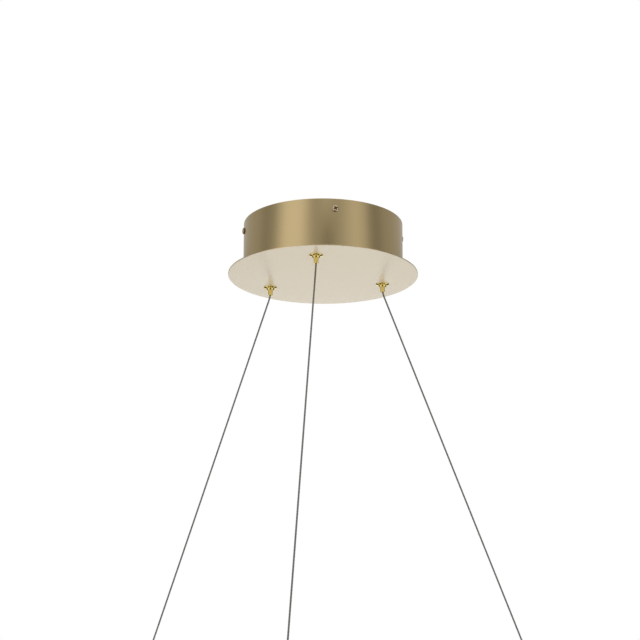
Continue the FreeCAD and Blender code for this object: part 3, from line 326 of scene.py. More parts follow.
def new_mesh(name, grids):
    """One mesh from grids of (points, rows closed, inside out)."""
    points, quads, start = [], [], 0
    for grid, closed, inside_out in grids:
        points.append(grid.reshape(-1, 3))
        quads.append(faces_of(grid, closed, inside_out) + start)
        start += points[-1].shape[0]
    points, quads = np.vstack(points), np.vstack(quads)
    used, quads = np.unique(quads, return_inverse=True)
    quads = quads.reshape(-1, 4)
    same = [quads[:, k] == quads[:, k - 1] for k in range(4)]
    full = quads[~np.any(same, axis=0)]
    corners = [np.delete(quads[same[k]], k, axis=1) for k in range(4)]
    mesh = bpy.data.meshes.new(name)
    mesh.from_pydata(points[used].tolist(), [], full.tolist() + np.vstack(corners).tolist())
    return mesh


def placed(name, mesh, material):
    """An object at the origin, with its mesh and material."""
    mesh.materials.append(material)
    piece = bpy.data.objects.new(name, mesh)
    bpy.context.scene.collection.objects.link(piece)
    return piece


def new_piece(name, grids, slot, body, *nodes, sharp=35):
    """A piece of the object: its mesh, the finish of its slot, the body that it rides on, and the
    CAD nodes that it stands for."""
    mesh = new_mesh(name, grids)
    mesh.polygons.foreach_set("use_smooth", np.ones(len(mesh.polygons), bool))
    mesh.set_sharp_from_angle(angle=math.radians(sharp))
    piece = placed(name, mesh, finish(slot))
    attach(piece, body)
    if nodes:
        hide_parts(*nodes)
    return piece


def solid(points):
    """A grid that is closed by its poles."""
    return points, False, False


def loop(points):
    """A grid whose last row meets its first."""
    return points, True, False


def centre_of(node):
    low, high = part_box(node)
    return (low.x + high.x) / 2, (low.y + high.y) / 2


def at_gripper(points, number):
    """The points carried from the gripper's own axis to its place under the plate."""
    x, y = centre_of(f"gripper_flange_{number}")
    return moved(points, math.atan2(y, x), x, y, top(f"gripper_flange_{number}"))


# Materials

class Socket:
    """An output of a node. Arithmetic on it adds Math nodes."""

    def __init__(self, shader, link):
        self.shader, self.link = shader, link

    def _with(self, operation, *values):
        return self.shader.node("ShaderNodeMath", {"operation": operation}, dict(enumerate(values)))

    def __add__(self, other):
        return self._with("ADD", self, other)

    def __sub__(self, other):
        return self._with("SUBTRACT", self, other)

    def __rsub__(self, other):
        return self._with("SUBTRACT", other, self)

    def __mul__(self, other):
        return self._with("MULTIPLY", self, other)

    def __pow__(self, other):
        return self._with("POWER", self, other)

    __radd__, __rmul__ = __add__, __mul__

    def above(self, level):
        return self._with("GREATER_THAN", self, level)

    def maximum(self, other):
        return self._with("MAXIMUM", self, other)

    def minimum(self, other):
        return self._with("MINIMUM", self, other)

    def size(self):
        return self._with("ABSOLUTE", self)


class Shader:
    """The nodes of one material, or of the world."""

    def __init__(self, name, kind="materials"):
        self.owner = getattr(bpy.data, kind).new(name)
        self.owner.use_nodes = True
        self.tree = self.owner.node_tree
        self.tree.nodes.clear()

    def node(self, kind, settings=(), inputs=(), output=0):
        """Add a node of a type: its settings first, then the value or link of each input."""
        made = self.tree.nodes.new(kind)
        for key, value in dict(settings).items():
            setattr(made, key, value)
        for key, value in dict(inputs).items():
            if isinstance(value, Socket):
                self.tree.links.new(value.link, made.inputs[key])
            elif isinstance(value, (tuple, list)) and made.inputs[key].type == "RGBA":
                made.inputs[key].default_value = (*value, 1)
            else:
                made.inputs[key].default_value = value
        return Socket(self, made.outputs[output]) if made.outputs else None

    def coordinates(self, upright=1.0):
        """Object coordinates, with Z scaled."""
        place = self.node("ShaderNodeTexCoord", (), (), "Object")
        return self.node("ShaderNodeMapping", (), {"Vector": place, "Scale": (1, 1, upright)})

    def axes(self):
        """Object coordinates as three numbers."""
        split = self.node("ShaderNodeSeparateXYZ", (), {0: self.coordinates()})
        return [Socket(self, output) for output in split.link.node.outputs]

    def noise(self, where, scale, detail=3.0, roughness=0.5):
        return self.node("ShaderNodeTexNoise", (), {
            "Vector": where, "Scale": scale, "Detail": detail, "Roughness": roughness}, "Fac")

    def mix(self, part, first, second):
        """A colour between two."""
        return self.node("ShaderNodeMix", {"data_type": "RGBA"}, {0: part, 6: first, 7: second}, 2)

    def bump(self, height, microns, strength):
        return self.node("ShaderNodeBump", (), {
            "Height": height, "Distance": microns * 1e-6, "Strength": strength})

    def seen(self):
        """1 for rays from the camera, gloss and clear material, and 0 for all others."""
        rays = self.node("ShaderNodeLightPath").link.node.outputs
        camera, gloss, clear = (Socket(self, rays[f"Is {kind} Ray"])
                                for kind in ("Camera", "Glossy", "Transmission"))
        return camera.maximum(gloss).maximum(clear)

    def shine(self, kind, shade, strength):
        """An emission, or the world's background."""
        return self.node(kind, (), {"Color": shade, "Strength": strength})

    def output(self, shader, kind="Material"):
        """Join a shader to the output and give the material or world."""
        self.node(f"ShaderNodeOutput{kind}", (), {"Surface": shader})
        return self.owner

    def surface(self, **inputs):
        """The material with one plain shader, from that shader's inputs."""
        inputs = {key.replace("_", " "): value for key, value in inputs.items()}
        return self.output(self.node("ShaderNodeBsdfPrincipled", (), inputs))


def tone(shade, factor):
    """A colour made lighter or darker."""
    return tuple(min(1.0, part * factor) for part in shade)


def brushed_brass(name, shade, rough=0.22, lines=6000.0):
    """Satin metal brushed round its axis: streaks that are long round it and fine up and down."""
    s = Shader(name)
    streak = s.noise(s.coordinates(lines / 40), 40.0, 3.0, 0.6)
    fine = s.noise(s.coordinates(lines / 12), 12.0, 2.0)
    cloud = s.noise(s.coordinates(), 9.0, 2.0)
    base = s.mix(streak * 0.4 + cloud * 0.6, tone(shade, 0.97), tone(shade, 1.03))
    return s.surface(
        Base_Color=base, Metallic=1.0, Roughness=streak * 0.05 + fine * 0.03 + (rough - 0.04),
        Normal=s.bump(streak + fine, 4, 0.3))


def gold(name, shade):
    """Polished gold plating, a little smudged."""
    s = Shader(name)
    smudge = s.noise(s.coordinates(), 260.0, 3.0)
    return s.surface(
        Base_Color=s.mix(smudge, tone(shade, 0.95), tone(shade, 1.03)), Metallic=1.0,
        Roughness=smudge * 0.05 + 0.03,
        Normal=s.bump(s.noise(s.coordinates(3), 900.0, 2.0), 5, 0.2))


def enamel(name, shade, brass_shade, underside):
    """Pearl enamel with a soft gloss under the plate. Its rim and upper side are satin brass."""
    s = Shader(name)
    brass = s.axes()[2].above(underside + 0.4 * MM)
    cloud = s.noise(s.coordinates(), 14.0, 3.0)
    peel = s.noise(s.coordinates(), 1400.0, 2.0)
    paint = s.mix(cloud, tone(shade, 0.985), tone(shade, 1.015))
    return s.surface(
        Base_Color=s.mix(brass, paint, tuple(brass_shade)), Metallic=brass * 0.7 + 0.3,
        Roughness=peel * 0.04 + 0.24, Normal=s.bump(peel, 10, 0.2))


def steel(name, shade, rough=0.36):
    """Plain metal with fine spots."""
    s = Shader(name)
    spot = s.noise(s.coordinates(), 900.0, 3.0)
    return s.surface(
        Base_Color=s.mix(spot, tone(shade, 0.8), tone(shade, 1.15)), Metallic=1.0,
        Roughness=spot * 0.16 + (rough - 0.08), Normal=s.bump(spot, 20, 0.3))


def screws_with_painted_shade(name, shade, canopy):
    """Polished screws on the X and Y axes, with painted shade: dark round their heads' sides
    and in their recesses, which are near a screw's own axis and lower than its dome."""
    s = Shader(name)
    side_end, dome_foot, recess_reach = 1.1 * MM, 1.6 * MM, 2.6 * MM
    spot = s.noise(s.coordinates(), 900.0)
    x, y, z = s.axes()
    x, y, z = x.size(), y.size(), z + canopy.screw_drop
    beside = (x.minimum(y) ** 2 + z * z) ** 0.5
    # Painted shade: masks for the cross recesses and the heads' sides, which get a dark colour in place of real
    # shade.
    low = 1 - x.maximum(y).above(canopy.drum_radius + dome_foot)
    side = 1 - x.maximum(y).above(canopy.drum_radius + side_end)
    dark = (low * (1 - beside.above(recess_reach))).maximum(side)
    metal = s.mix(spot, tone(shade, 0.9), tone(shade, 1.08))
    # The colour (0.19, 0.125, 0.05) is the painted shade in the recesses and round the heads' sides.
    return s.surface(
        Base_Color=s.mix(dark, metal, (0.19, 0.125, 0.05)), Metallic=1.0,
        Roughness=spot * 0.04 + 0.04, Normal=s.bump(spot, 10, 0.2))


def zinc(name, shade):
    """Zinc plating: crystal patches that differ a little in tone and gloss."""
    s = Shader(name)
    patch = s.node("ShaderNodeTexVoronoi", (), {"Vector": s.coordinates(), "Scale": 240.0}, "Color")
    value = s.node("ShaderNodeSeparateColor", (), {0: patch}, 0)
    grain = s.noise(s.coordinates(), 900.0)
    return s.surface(
        Base_Color=s.mix(value, tone(shade, 0.86), tone(shade, 1.08)), Metallic=1.0,
        Roughness=value * 0.12 + grain * 0.1 + 0.24, Normal=s.bump(grain, 20, 0.3))


def plastic(name, shade, rough=0.45, grain=700.0, microns=30):
    """Moulded plastic with a fine eroded grain."""
    s = Shader(name)
    skin = s.noise(s.coordinates(), grain, 4.0)
    cloud = s.noise(s.coordinates(), 30.0, 2.0)
    return s.surface(
        Base_Color=s.mix(cloud, tone(shade, 0.97), tone(shade, 1.02)),
        Roughness=skin * 0.14 + (rough - 0.07), Normal=s.bump(skin, microns, 0.5))


def opal(name, shade):
    """Opal cover: light goes into it and comes out soft."""
    s = Shader(name)
    cloud = s.noise(s.coordinates(), 40.0, 2.0)
    return s.surface(
        Base_Color=s.mix(cloud, tone(shade, 0.985), tone(shade, 1.01)),
        Roughness=cloud * 0.08 + 0.3, Subsurface_Weight=0.25, Subsurface_Scale=0.003)


def phosphor(name, frame_shade, ring):
    """Light chips: a yellow gel in a pale frame. Distance from the ring's middle line picks it."""
    s = Shader(name)
    x, y, _ = s.axes()
    gel = 1 - ((x * x + y * y) ** 0.5 - ring.chip_circle).size().above(ring.gel)
    return s.surface(
        Base_Color=s.mix(gel, frame_shade, (0.86, 0.6, 0.09)),
        Roughness=s.noise(s.coordinates(), 800.0) * 0.2 + 0.3)


def finish(slot):
    """The material of a slot, made once."""
    name, scene = f"{slot}_finish", bpy.context.scene
    if name in bpy.data.materials:
        return bpy.data.materials[name]
    paint = scene.chandelier_colours
    finishes = {
        "canopy_brass": (brushed_brass, paint.brass),
        "ring_brass": (brushed_brass, paint.brass, 0.3),
        "brass_screw": (screws_with_painted_shade, paint.screw, scene.chandelier_canopy),
        "earth_brass": (steel, (0.66, 0.48, 0.2), 0.3),
        "gripper_gold": (gold, paint.gold),
        "plate_enamel": (enamel, paint.enamel, paint.brass, foot("canopy_plate")),
        "wire_steel": (steel, paint.steel),
        "ball_steel": (steel, (0.6, 0.6, 0.62), 0.15),
        "bare_aluminium": (steel, (0.7, 0.7, 0.72), 0.34),
        "crimp_copper": (steel, (0.62, 0.33, 0.18), 0.3),
        "zinc_steel": (zinc, paint.zinc),
        "driver_plastic": (plastic, paint.white_plastic),
        "terminal_plastic": (plastic, paint.cream_plastic, 0.3, 300.0, 10),
        "strip_board": (plastic, (0.8, 0.8, 0.77), 0.4, 300.0, 10),
        "opal_acrylic": (opal, paint.opal),
        "led_phosphor": (phosphor, (0.85, 0.85, 0.82), scene.chandelier_ring),
    }
    maker, *values = finishes[slot]
    return maker(name, *values)


# Canopy

class ChandelierDrum(bpy.types.Operator):
    """Brushed brass drum of the canopy, with its inner lugs"""

    bl_idname = "chandelier.drum"
    bl_label = "Canopy drum"

    def execute(self, context):
        s = context.scene.chandelier_canopy
        inner = s.drum_radius - s.drum_wall
        wall = rounded(((s.drum_radius, 0, s.edge), (inner, 0, s.edge),
                        (inner, -s.drum_foot, s.edge), (s.drum_radius, -s.drum_foot, s.edge)))
        half, near = s.lug_width / 2, inner - s.lug_reach
        far = inner + s.drum_wall / 2
        outline = rounded(((near, -half, half / 2), (far, -half, 2 * FINE), (far, half, 2 * FINE),
                           (near, half, half / 2)))
        lug = slab(outline, -s.drum_foot, -s.drum_foot + s.drum_wall, 2 * FINE)
        turns = circle(len(NUMBERS), s.lug_turn)
        new_piece("drum_shell", [loop(turned(wall, circle(s.segments)))]
                  + [solid(moved(lug, turn)) for turn in turns],
                  "canopy_brass", "canopy", "canopy_drum")
        return {"FINISHED"}


class ChandelierPlate(bpy.types.Operator):
    """Enamelled cover plate with a rounded rim"""

    bl_idname = "chandelier.plate"
    bl_label = "Cover plate"

    def execute(self, context):
        s = context.scene.chandelier_canopy
        low, high = -s.plate_under, s.plate_sheet - s.plate_under
        rim = rounded(((0, low, 0), (s.plate_radius, low, s.edge), (s.plate_radius, high, s.edge),
                       (0, high, 0)), 6)
        new_piece("cover_plate", [solid(turned(rim, circle(s.segments)))],
                  "plate_enamel", "canopy", "canopy_plate")
        return {"FINISHED"}


class ChandelierScrews(bpy.types.Operator):
    """Pan head screws with cross recesses, round the drum"""

    bl_idname = "chandelier.screws"
    bl_label = "Side screws"

    def execute(self, context):
        s = context.scene.chandelier_canopy
        head, rise = s.screw_head, s.screw_rise
        shank, end = s.screw_shank, -s.screw_length
        side = 0.3 * rise
        stem = np.array(((0, end), (shank - 3 * FINE, end), (shank, end + 5 * FINE), (shank, 0),
                         (head - FINE, 0), (head, FINE), (head, side)))
        # The dome is a quarter ellipse from the side of the head to its top.
        part = np.linspace(0.08, 1, 26)[:, None] * math.pi / 2
        dome = np.hstack([head * np.cos(part), side + (rise - side) * np.sin(part)])
        points = turned(np.vstack([stem, dome]), circle(96))
        points[-1, :, :2] = 0
        c, t = math.cos(s.recess_turn), math.sin(s.recess_turn)
        x, y = np.abs(points[..., :2] @ np.array([[c, -t], [t, c]])).transpose(2, 0, 1)

        def within(value, limit, soft):
            return 1 - np.clip((value - limit) / soft + 0.5, 0, 1)

        arm, span = s.recess_width / 2, s.recess_span / 2
        cross = np.maximum(within(x, arm, 2 * FINE) * within(y, span, 3 * FINE),
                           within(y, arm, 2 * FINE) * within(x, span, 3 * FINE))
        slope = 1 - 0.5 * np.maximum(x, y) / span
        on_dome = np.arange(len(points))[:, None] >= len(stem)
        points[..., 2] -= np.where(on_dome, cross * slope * s.recess_depth, 0)
        screw = moved(points[..., [2, 0, 1]], 0, s.drum_radius, 0, -s.screw_drop)
        new_piece("pan_head_screws", [solid(moved(screw, turn)) for turn in circle(4)],
                  "brass_screw", "canopy", "side_screws", sharp=28)
        return {"FINISHED"}


# Grippers

def at_grippers(name, points, node, body="canopy"):
    """A gold piece at each gripper, from a grid on the gripper's own axis."""
    for number in NUMBERS:
        new_piece(f"{name}_{number}", [loop(at_gripper(points, number))], "gripper_gold",
                  body.format(number), f"{node}_{number}")


class ChandelierFlanges(bpy.types.Operator):
    """Caps under the plate: shallow cones with a step round the collar"""

    bl_idname = "chandelier.flanges"
    bl_label = "Gripper caps"

    def execute(self, context):
        s = context.scene.chandelier_grippers
        bore, hollow = s.shank_radius + FINE, s.collar_radius + FINE
        lip, seat = -s.flange_lip, -s.flange_depth
        profile = rounded((
            (hollow + 1.5 * FINE, lip, FINE / 2), (s.flange_radius, -s.flange_rim, 4 * FINE),
            (s.flange_radius, 0, FINE), (bore, 0, FINE), (bore, seat, FINE),
            (hollow, seat, FINE / 2), (hollow, lip, FINE / 2)), 5)
        at_grippers("flared_cap", turned(profile, circle(64)), "gripper_flange")
        return {"FINISHED"}


class ChandelierCollars(bpy.types.Operator):
    """Gripper bodies: collar below the plate and threaded shank above it"""

    bl_idname = "chandelier.collars"
    bl_label = "Gripper bodies"

    def execute(self, context):
        s = context.scene.chandelier_grippers
        bore, end, seat = s.nose_radius + 1.5 * FINE, -s.collar_reach, -s.flange_depth
        collar = rounded((
            (bore, end, 2 * FINE), (s.tip_radius, end, 4 * FINE),
            (s.collar_radius, seat - 6 * FINE, 5 * FINE), (s.collar_radius, seat, FINE),
            (s.shank_radius, seat, FINE / 2), (s.shank_radius, s.shank_top, 4 * FINE),
            (s.chamber, s.shank_top, 2 * FINE), (s.chamber, s.cone_top, 0),
            (bore, end + s.cone_foot, 0)))
        # Rows along the shank are close together, to carry the thread.
        at = np.argmax(np.all(np.isclose(collar[:, :1], s.shank_radius), axis=1)
                       & (collar[:, 1] > 0))
        rows = np.arange(2 * FINE, s.shank_top - 6 * FINE, s.thread_pitch / 6)
        shank = np.column_stack([np.full(len(rows), s.shank_radius), rows])
        profile = np.vstack([collar[:at], shank, collar[at:]])
        angles = circle(48)
        points = turned(profile, angles)
        # Thread: the radius falls by depth * |2 f - 1|, f the fraction of (z - pitch t/2pi)/pitch.
        phase = (profile[:, 1:] / s.thread_pitch - angles[None] / (2 * math.pi)) % 1
        on = np.zeros(len(profile))
        on[at:at + len(rows)] = np.clip(np.minimum(rows, rows[::-1]) / s.thread_pitch, 0, 1)
        radius = np.linalg.norm(points[..., :2], axis=-1)
        keep = 1 - on[:, None] * s.thread_depth * np.abs(2 * phase - 1) / radius
        points[..., :2] *= keep[..., None]
        at_grippers("gripper_collar", points, "gripper_body")
        return {"FINISHED"}


class ChandelierNoses(bpy.types.Operator):
    """Release noses, each with its head and the tube that lifts the balls"""

    bl_idname = "chandelier.noses"
    bl_label = "Release noses"

    def execute(self, context):
        s = context.scene.chandelier_grippers
        under, over = s.nose_lip - s.collar_reach, s.nose_lip - s.collar_reach + 8 * FINE
        profile = rounded((
            (s.nose_bore, -s.nose_reach, 3 * FINE), (s.nose_radius, -s.nose_reach, 5 * FINE),
            (s.nose_radius, under, 0), (s.nose_head, under, FINE), (s.nose_head, over, FINE),
            (s.tube_radius, over, 0), (s.tube_radius, s.tube_top, FINE),
            (s.nose_bore, s.tube_top, FINE)), 5)
        at_grippers("release_nose", turned(profile, circle(48)), "gripper_nose", "nose_{}")
        return {"FINISHED"}


def ball(radius, x, z):
    """A sphere: (r sin u cos t, r sin u sin t, r cos u), with its poles closed."""
    u = np.linspace(0, math.pi, 13)
    return moved(turned(radius * np.column_stack([np.sin(u), np.cos(u)]), circle(20)), 0, x, 0, z)


def coil(radius, wire, low, high, turns):
    """A spring whose end turns lie flat: its middle line is (r cos t, r sin t, z), where z rises
    evenly but for the first and last turn, and its section is a circle across the turn."""
    t = np.linspace(0, 2 * math.pi * turns, turns * 20 + 1)
    rise = np.interp(t / (2 * math.pi), (0, 1, turns - 1, turns),
                     (low + wire, low + 3 * wire, high - 3 * wire, high - wire))[:, None]
    a = circle(10)[None]
    r = radius + wire * np.cos(a)
    points = np.stack([r * np.cos(t)[:, None], r * np.sin(t)[:, None], rise + wire * np.sin(a)], -1)
    ends = points.mean(1, keepdims=True) + 0 * points
    return np.concatenate([ends[:1], points, ends[-1:]])


class ChandelierClamps(bpy.types.Operator):
    """Clamping balls and springs inside the grippers"""

    bl_idname = "chandelier.clamps"
    bl_label = "Balls and springs"

    def execute(self, context):
        s = context.scene.chandelier_grippers
        one = ball(s.ball_radius, s.ball_offset + s.ball_radius, s.ball_level)
        balls = [moved(one, turn) for turn in circle(3)]
        spring = coil(s.spring_radius, s.spring_wire, s.spring_low, s.spring_high, s.spring_turns)
        for number in NUMBERS:
            new_piece(f"clamp_balls_{number}", [solid(at_gripper(one, number)) for one in balls],
                      "ball_steel", f"nose_{number}", f"gripper_balls_{number}")
            piece = new_piece(f"coil_spring_{number}", [solid(at_gripper(spring, number))],
                              "ball_steel", "canopy", f"gripper_spring_{number}")
            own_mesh(piece)
        return {"FINISHED"}


# Wire ropes

def rope(path, s):
    """A rope laid on a path in an upright plane. Its section is the outline of round strands set
    in a ring, r = (2/3) cos d + sqrt(1/9 - (4/9) sin^2 d) with d the angle to the nearest strand,
    and it turns once in each lay."""
    steps = np.linalg.norm(np.diff(path, axis=0), axis=1)
    along = np.concatenate([[0], np.cumsum(steps)])
    tangent = np.gradient(path, axis=0)
    tangent /= np.linalg.norm(tangent, axis=1, keepdims=True)
    flat = path[-1] - path[0]
    side = np.array([-flat[1], flat[0], 0.0])
    side = side / np.linalg.norm(side) if np.linalg.norm(side) > 1e-6 else np.array([0, 1.0, 0])
    other = np.cross(tangent, side)
    a = circle(s.strands * 6)
    d = (a + math.pi / s.strands) % (2 * math.pi / s.strands) - math.pi / s.strands
    section = 2 / 3 * np.cos(d) + np.sqrt(np.clip(1 / 9 - 4 / 9 * np.sin(d) ** 2, 0, None))
    turn = a[None] + along[:, None] / s.lay * 2 * math.pi
    points = path[:, None] + s.radius * section[None, :, None] * (
        np.cos(turn)[..., None] * side + np.sin(turn)[..., None] * other[:, None])
    ends = path[:, None] + 0 * points
    return np.concatenate([ends[:1], points, ends[-1:]]), along[-1]


def spline_points(points, step):
    """Points read from a smooth curve that takes the route's points as its control points, then
    spread evenly along it."""
    curve = bpy.data.curves.new("route", "CURVE")
    curve.dimensions = "3D"
    line = curve.splines.new("NURBS")
    line.points.add(len(points) - 1)
    line.points.foreach_set("co", np.column_stack([points, np.ones(len(points))]).ravel())
    line.order_u = 3
    line.use_endpoint_u = True
    line.resolution_u = 24
    holder = bpy.data.objects.new("route", curve)
    mesh = bpy.data.meshes.new_from_object(holder)
    found = np.empty(len(mesh.vertices) * 3)
    mesh.vertices.foreach_get("co", found)
    found = found.reshape(-1, 3)
    bpy.data.meshes.remove(mesh)
    bpy.data.objects.remove(holder)
    bpy.data.curves.remove(curve)
    along = np.concatenate([[0], np.cumsum(np.linalg.norm(np.diff(found, axis=0), axis=1))])
    even = np.linspace(0, along[-1], round(along[-1] / step) + 1)
    return np.column_stack([np.interp(even, along, found[:, k]) for k in range(3)])


def wire_route(number, s):
    """The route of a wire: inside the nose, its bend, the straight run and the anchor."""
    above, below = centre_of(f"gripper_nose_{number}"), centre_of(f"ring_anchor_{number}")
    nose, anchor = foot(f"gripper_nose_{number}"), top(f"ring_anchor_{number}")
    upper = np.array([*above, nose - s.bend_below])
    lower = np.array([*below, anchor + s.bend_above])
    run = (lower - upper) / np.linalg.norm(lower - upper)
    return np.array([
        [*above, nose + s.hidden_top], upper, upper + run * s.straight,
        lower - run * s.straight, lower, [*below, anchor - s.hidden_end]])


class ChandelierRopes(bpy.types.Operator):
    """Wire ropes from the grippers to the ring's anchors"""

    bl_idname = "chandelier.ropes"
    bl_label = "Wire ropes"

    def execute(self, context):
        s = context.scene.chandelier_ropes
        joint = next(joint for joint in frame["joints"] if joint["name"] == "ring_height")
        rise = joint["range_m"][1]
        for number in NUMBERS:
            route = wire_route(number, s)
            path = spline_points(route, s.step)
            points, run = rope(path, s)
            piece = new_piece(f"wire_rope_{number}", [solid(points)], "wire_steel", "canopy",
                              f"wire_{number}", sharp=180)
            upper, lower = route[1, 2], route[4, 2]
            1 - rise / (upper - lower)
            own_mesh(piece)
        return {"FINISHED"}


class ChandelierTails(bpy.types.Operator):
    """Tails of the wires inside the canopy"""

    bl_idname = "chandelier.tails"
    bl_label = "Wire tails"

    def execute(self, context):
        s = context.scene.chandelier_ropes
        for number in NUMBERS:
            x, y = centre_of(f"gripper_nose_{number}")
            low, high = foot(f"gripper_nose_{number}") + s.tail_foot, s.tail_end - s.tail_top
            z = np.linspace(low, high, round((high - low) / s.step) + 1)
            path = np.column_stack([np.full(len(z), x), np.full(len(z), y), z])
            new_piece(f"rope_tail_{number}", [solid(rope(path, s)[0])], "wire_steel", "canopy",
                      f"wire_tail_{number}", sharp=180)
        return {"FINISHED"}


# Lit ring

class ChandelierRing(bpy.types.Operator):
    """Ring extrusion with softened edges, its light channel and its seam"""

    bl_idname = "chandelier.ring"
    bl_label = "Ring body"

    def execute(self, context):
        s = context.scene.chandelier_ring
        out, inn, high, low = s.radius, s.radius - s.width, -s.top, -s.top - s.height
        roof = high - s.top_wall - s.chamber - s.web
        channel_in, channel_out = inn + s.side_wall, out - s.side_wall
        small = 2 * FINE
        section = rounded((
            (out, high, s.edge), (inn, high, s.edge), (inn, low, small), (channel_in, low, small),
            (channel_in, roof, small), (channel_out, roof, small), (channel_out, low, small),
            (out, low, small)))
        half = s.seam / 2 / s.radius
        near = np.array((-3 * half, -half, half, 3 * half))
        angles = s.seam_turn + np.concatenate([near, circle(s.segments)[1:]])
        body = turned(section, angles)
        # The seam is a groove: there the section is drawn in, this share of the way to its middle.
        groove = 0.04
        middle = turned(np.array([[(out + inn) / 2, (high + low) / 2]]), angles)
        body[:, 1:3] += (middle - body)[:, 1:3] * groove
        chamber = rounded((
            (channel_out, high - s.top_wall, small), (channel_in, high - s.top_wall, small),
            (channel_in, high - s.top_wall - s.chamber, small),
            (channel_out, high - s.top_wall - s.chamber, small)), 2)
        new_piece("ring_shell", [loop(body), (turned(chamber, circle(s.segments)), True, True)],
                  "ring_brass", "ring", "ring_housing")
        return {"FINISHED"}


class ChandelierDiffuser(bpy.types.Operator):
    """Opal cover in the mouth of the light channel"""

    bl_idname = "chandelier.diffuser"
    bl_label = "Opal cover"

    def execute(self, context):
        s = context.scene.chandelier_ring
        low = -s.top - s.height
        inn, out = s.radius - s.width + s.side_wall, s.radius - s.side_wall
        high = low + s.diffuser
        section = rounded(((inn, low, 6 * FINE), (out, low, 6 * FINE), (out, high, 3 * FINE),
                           (inn, high, 3 * FINE)))
        new_piece("opal_cover", [loop(turned(section, circle(s.segments)))],
                  "opal_acrylic", "ring", "ring_diffuser")
        return {"FINISHED"}


class ChandelierAnchors(bpy.types.Operator):
    """Turned anchors that hold the wires on the ring"""

    bl_idname = "chandelier.anchors"
    bl_label = "Wire anchors"

    def execute(self, context):
        s = context.scene.chandelier_ring
        bore, waist, tip, high = s.anchor_bore, s.anchor_waist, s.anchor_tip, s.anchor_height
        rim, rows = s.anchor_rim, 12
        # The stem's radius falls as tip + (waist - tip) (1 - u)^2, with u from 0 to 1 up the stem.
        u = np.linspace(0, 1, rows)
        stem = np.column_stack([tip - 3 * FINE + (waist - tip) * (1 - u) ** 2,
                                np.linspace(rim + 6 * FINE, high - 6 * FINE, rows)])
        base = rounded(((bore, 0, 0), (s.anchor_base, 0, 3 * FINE), (s.anchor_base, rim, 5 * FINE),
                        (waist, rim + 2 * FINE, 0)), 5)[:-1]
        end = np.array(((tip - 4 * FINE, high - 2 * FINE), (tip - 7 * FINE, high), (bore, high)))
        # The shank is hollow from the ferrule's seat down.
        seat, low, hollow, shank = -s.seat_depth, -s.anchor_depth, s.ferrule_seat, s.anchor_shank
        under = np.array(((bore, seat), (hollow, seat), (hollow, low), (shank, low), (shank, 0)))
        profile = np.vstack([under, base[base[:, 0] > shank + FINE], stem, end])
        points = turned(profile, circle(64))
        for number in NUMBERS:
            x, y = centre_of(f"ring_anchor_{number}")
            new_piece(f"wire_anchor_{number}", [loop(moved(points, 0, x, y, -s.top))],
                      "ring_brass", "ring", f"ring_anchor_{number}")
        return {"FINISHED"}


class ChandelierInner(bpy.types.Operator):
    """Finishes for the CAD parts that keep their own shape"""

    bl_idname = "chandelier.inner"
    bl_label = "Inner parts"

    def execute(self, context):
        for part in frame["record"]["subparts"]:
            node = frame["nodes"][part["node"]]
            if not node.hide_render:
                node.data.materials.clear()
                node.data.materials.append(finish(part["material_slot"]))
        return {"FINISHED"}


# Stage

def lamp(name, place, aim, size, power):
    """A soft lamp that faces a point and doesn't show in reflections."""
    data = bpy.data.lights.new(name, "AREA")
    data.shape = "DISK"
    data.size = size
    data.energy = power
    made = bpy.data.objects.new(name, data)
    made.location = place
    made.rotation_mode = "QUATERNION"
    made.rotation_quaternion = (Vector(aim) - Vector(place)).to_track_quat("-Z", "Y")
    made.visible_camera = False
    made.visible_glossy = False
    bpy.context.scene.collection.objects.link(made)


def stage_piece(name, grid, material):
    piece = placed(name, new_mesh(name, [grid]), material)
    return piece


# What metal sees round the object: each soft box or flag covers what comes before it. Its
# directions are in degrees to the right of the camera's side. Then come its half width and soft
# edge, its lowest and highest elevation and soft edge, all in degrees, and its grey.
BACKDROP = 0.44
BOXES_AND_FLAGS = (
    ((180,), 50, 60, -99, 99, 1, 0.55),         # rear wall
    ((-43,), 21, 20, -99, 99, 1, 1.00),         # soft box at the left
    ((-88,), 9, 16, -99, 99, 1, 0.34),          # flag beside it
    ((47,), 17, 26, -99, 99, 1, 0.78),          # soft box at the right
    ((80,), 11, 14, -99, 99, 1, 0.32),          # flag beside it
    ((5,), 10, 20, -99, 99, 1, 0.68),           # wall behind the camera
    ((6,), 9, 18, -99, 20, 13, 0.24),           # darker towards its foot
    ((180,), 180, 1, -99, -8, 4, 1.00),         # white sweep below
    ((180,), 13, 3, -10, 8, 3, 1.40),           # lit strip at the rear
    ((162, -162), 7, 2, -40, -17, 3, 0.03),     # narrow flags under its ends
    ((147, -147), 17, 5, -17, 13, 4, 0.06),     # wide flags beside it
    ((119, -119), 22, 10, -37, -5, 4, 0.10),    # wide low flags at the sides
    ((180,), 22, 8, -85, -46, 3, 0.03),         # dark patch below
    ((0,), 40, 20, -99, -28, 5, 0.08),          # dark floor under the camera
)


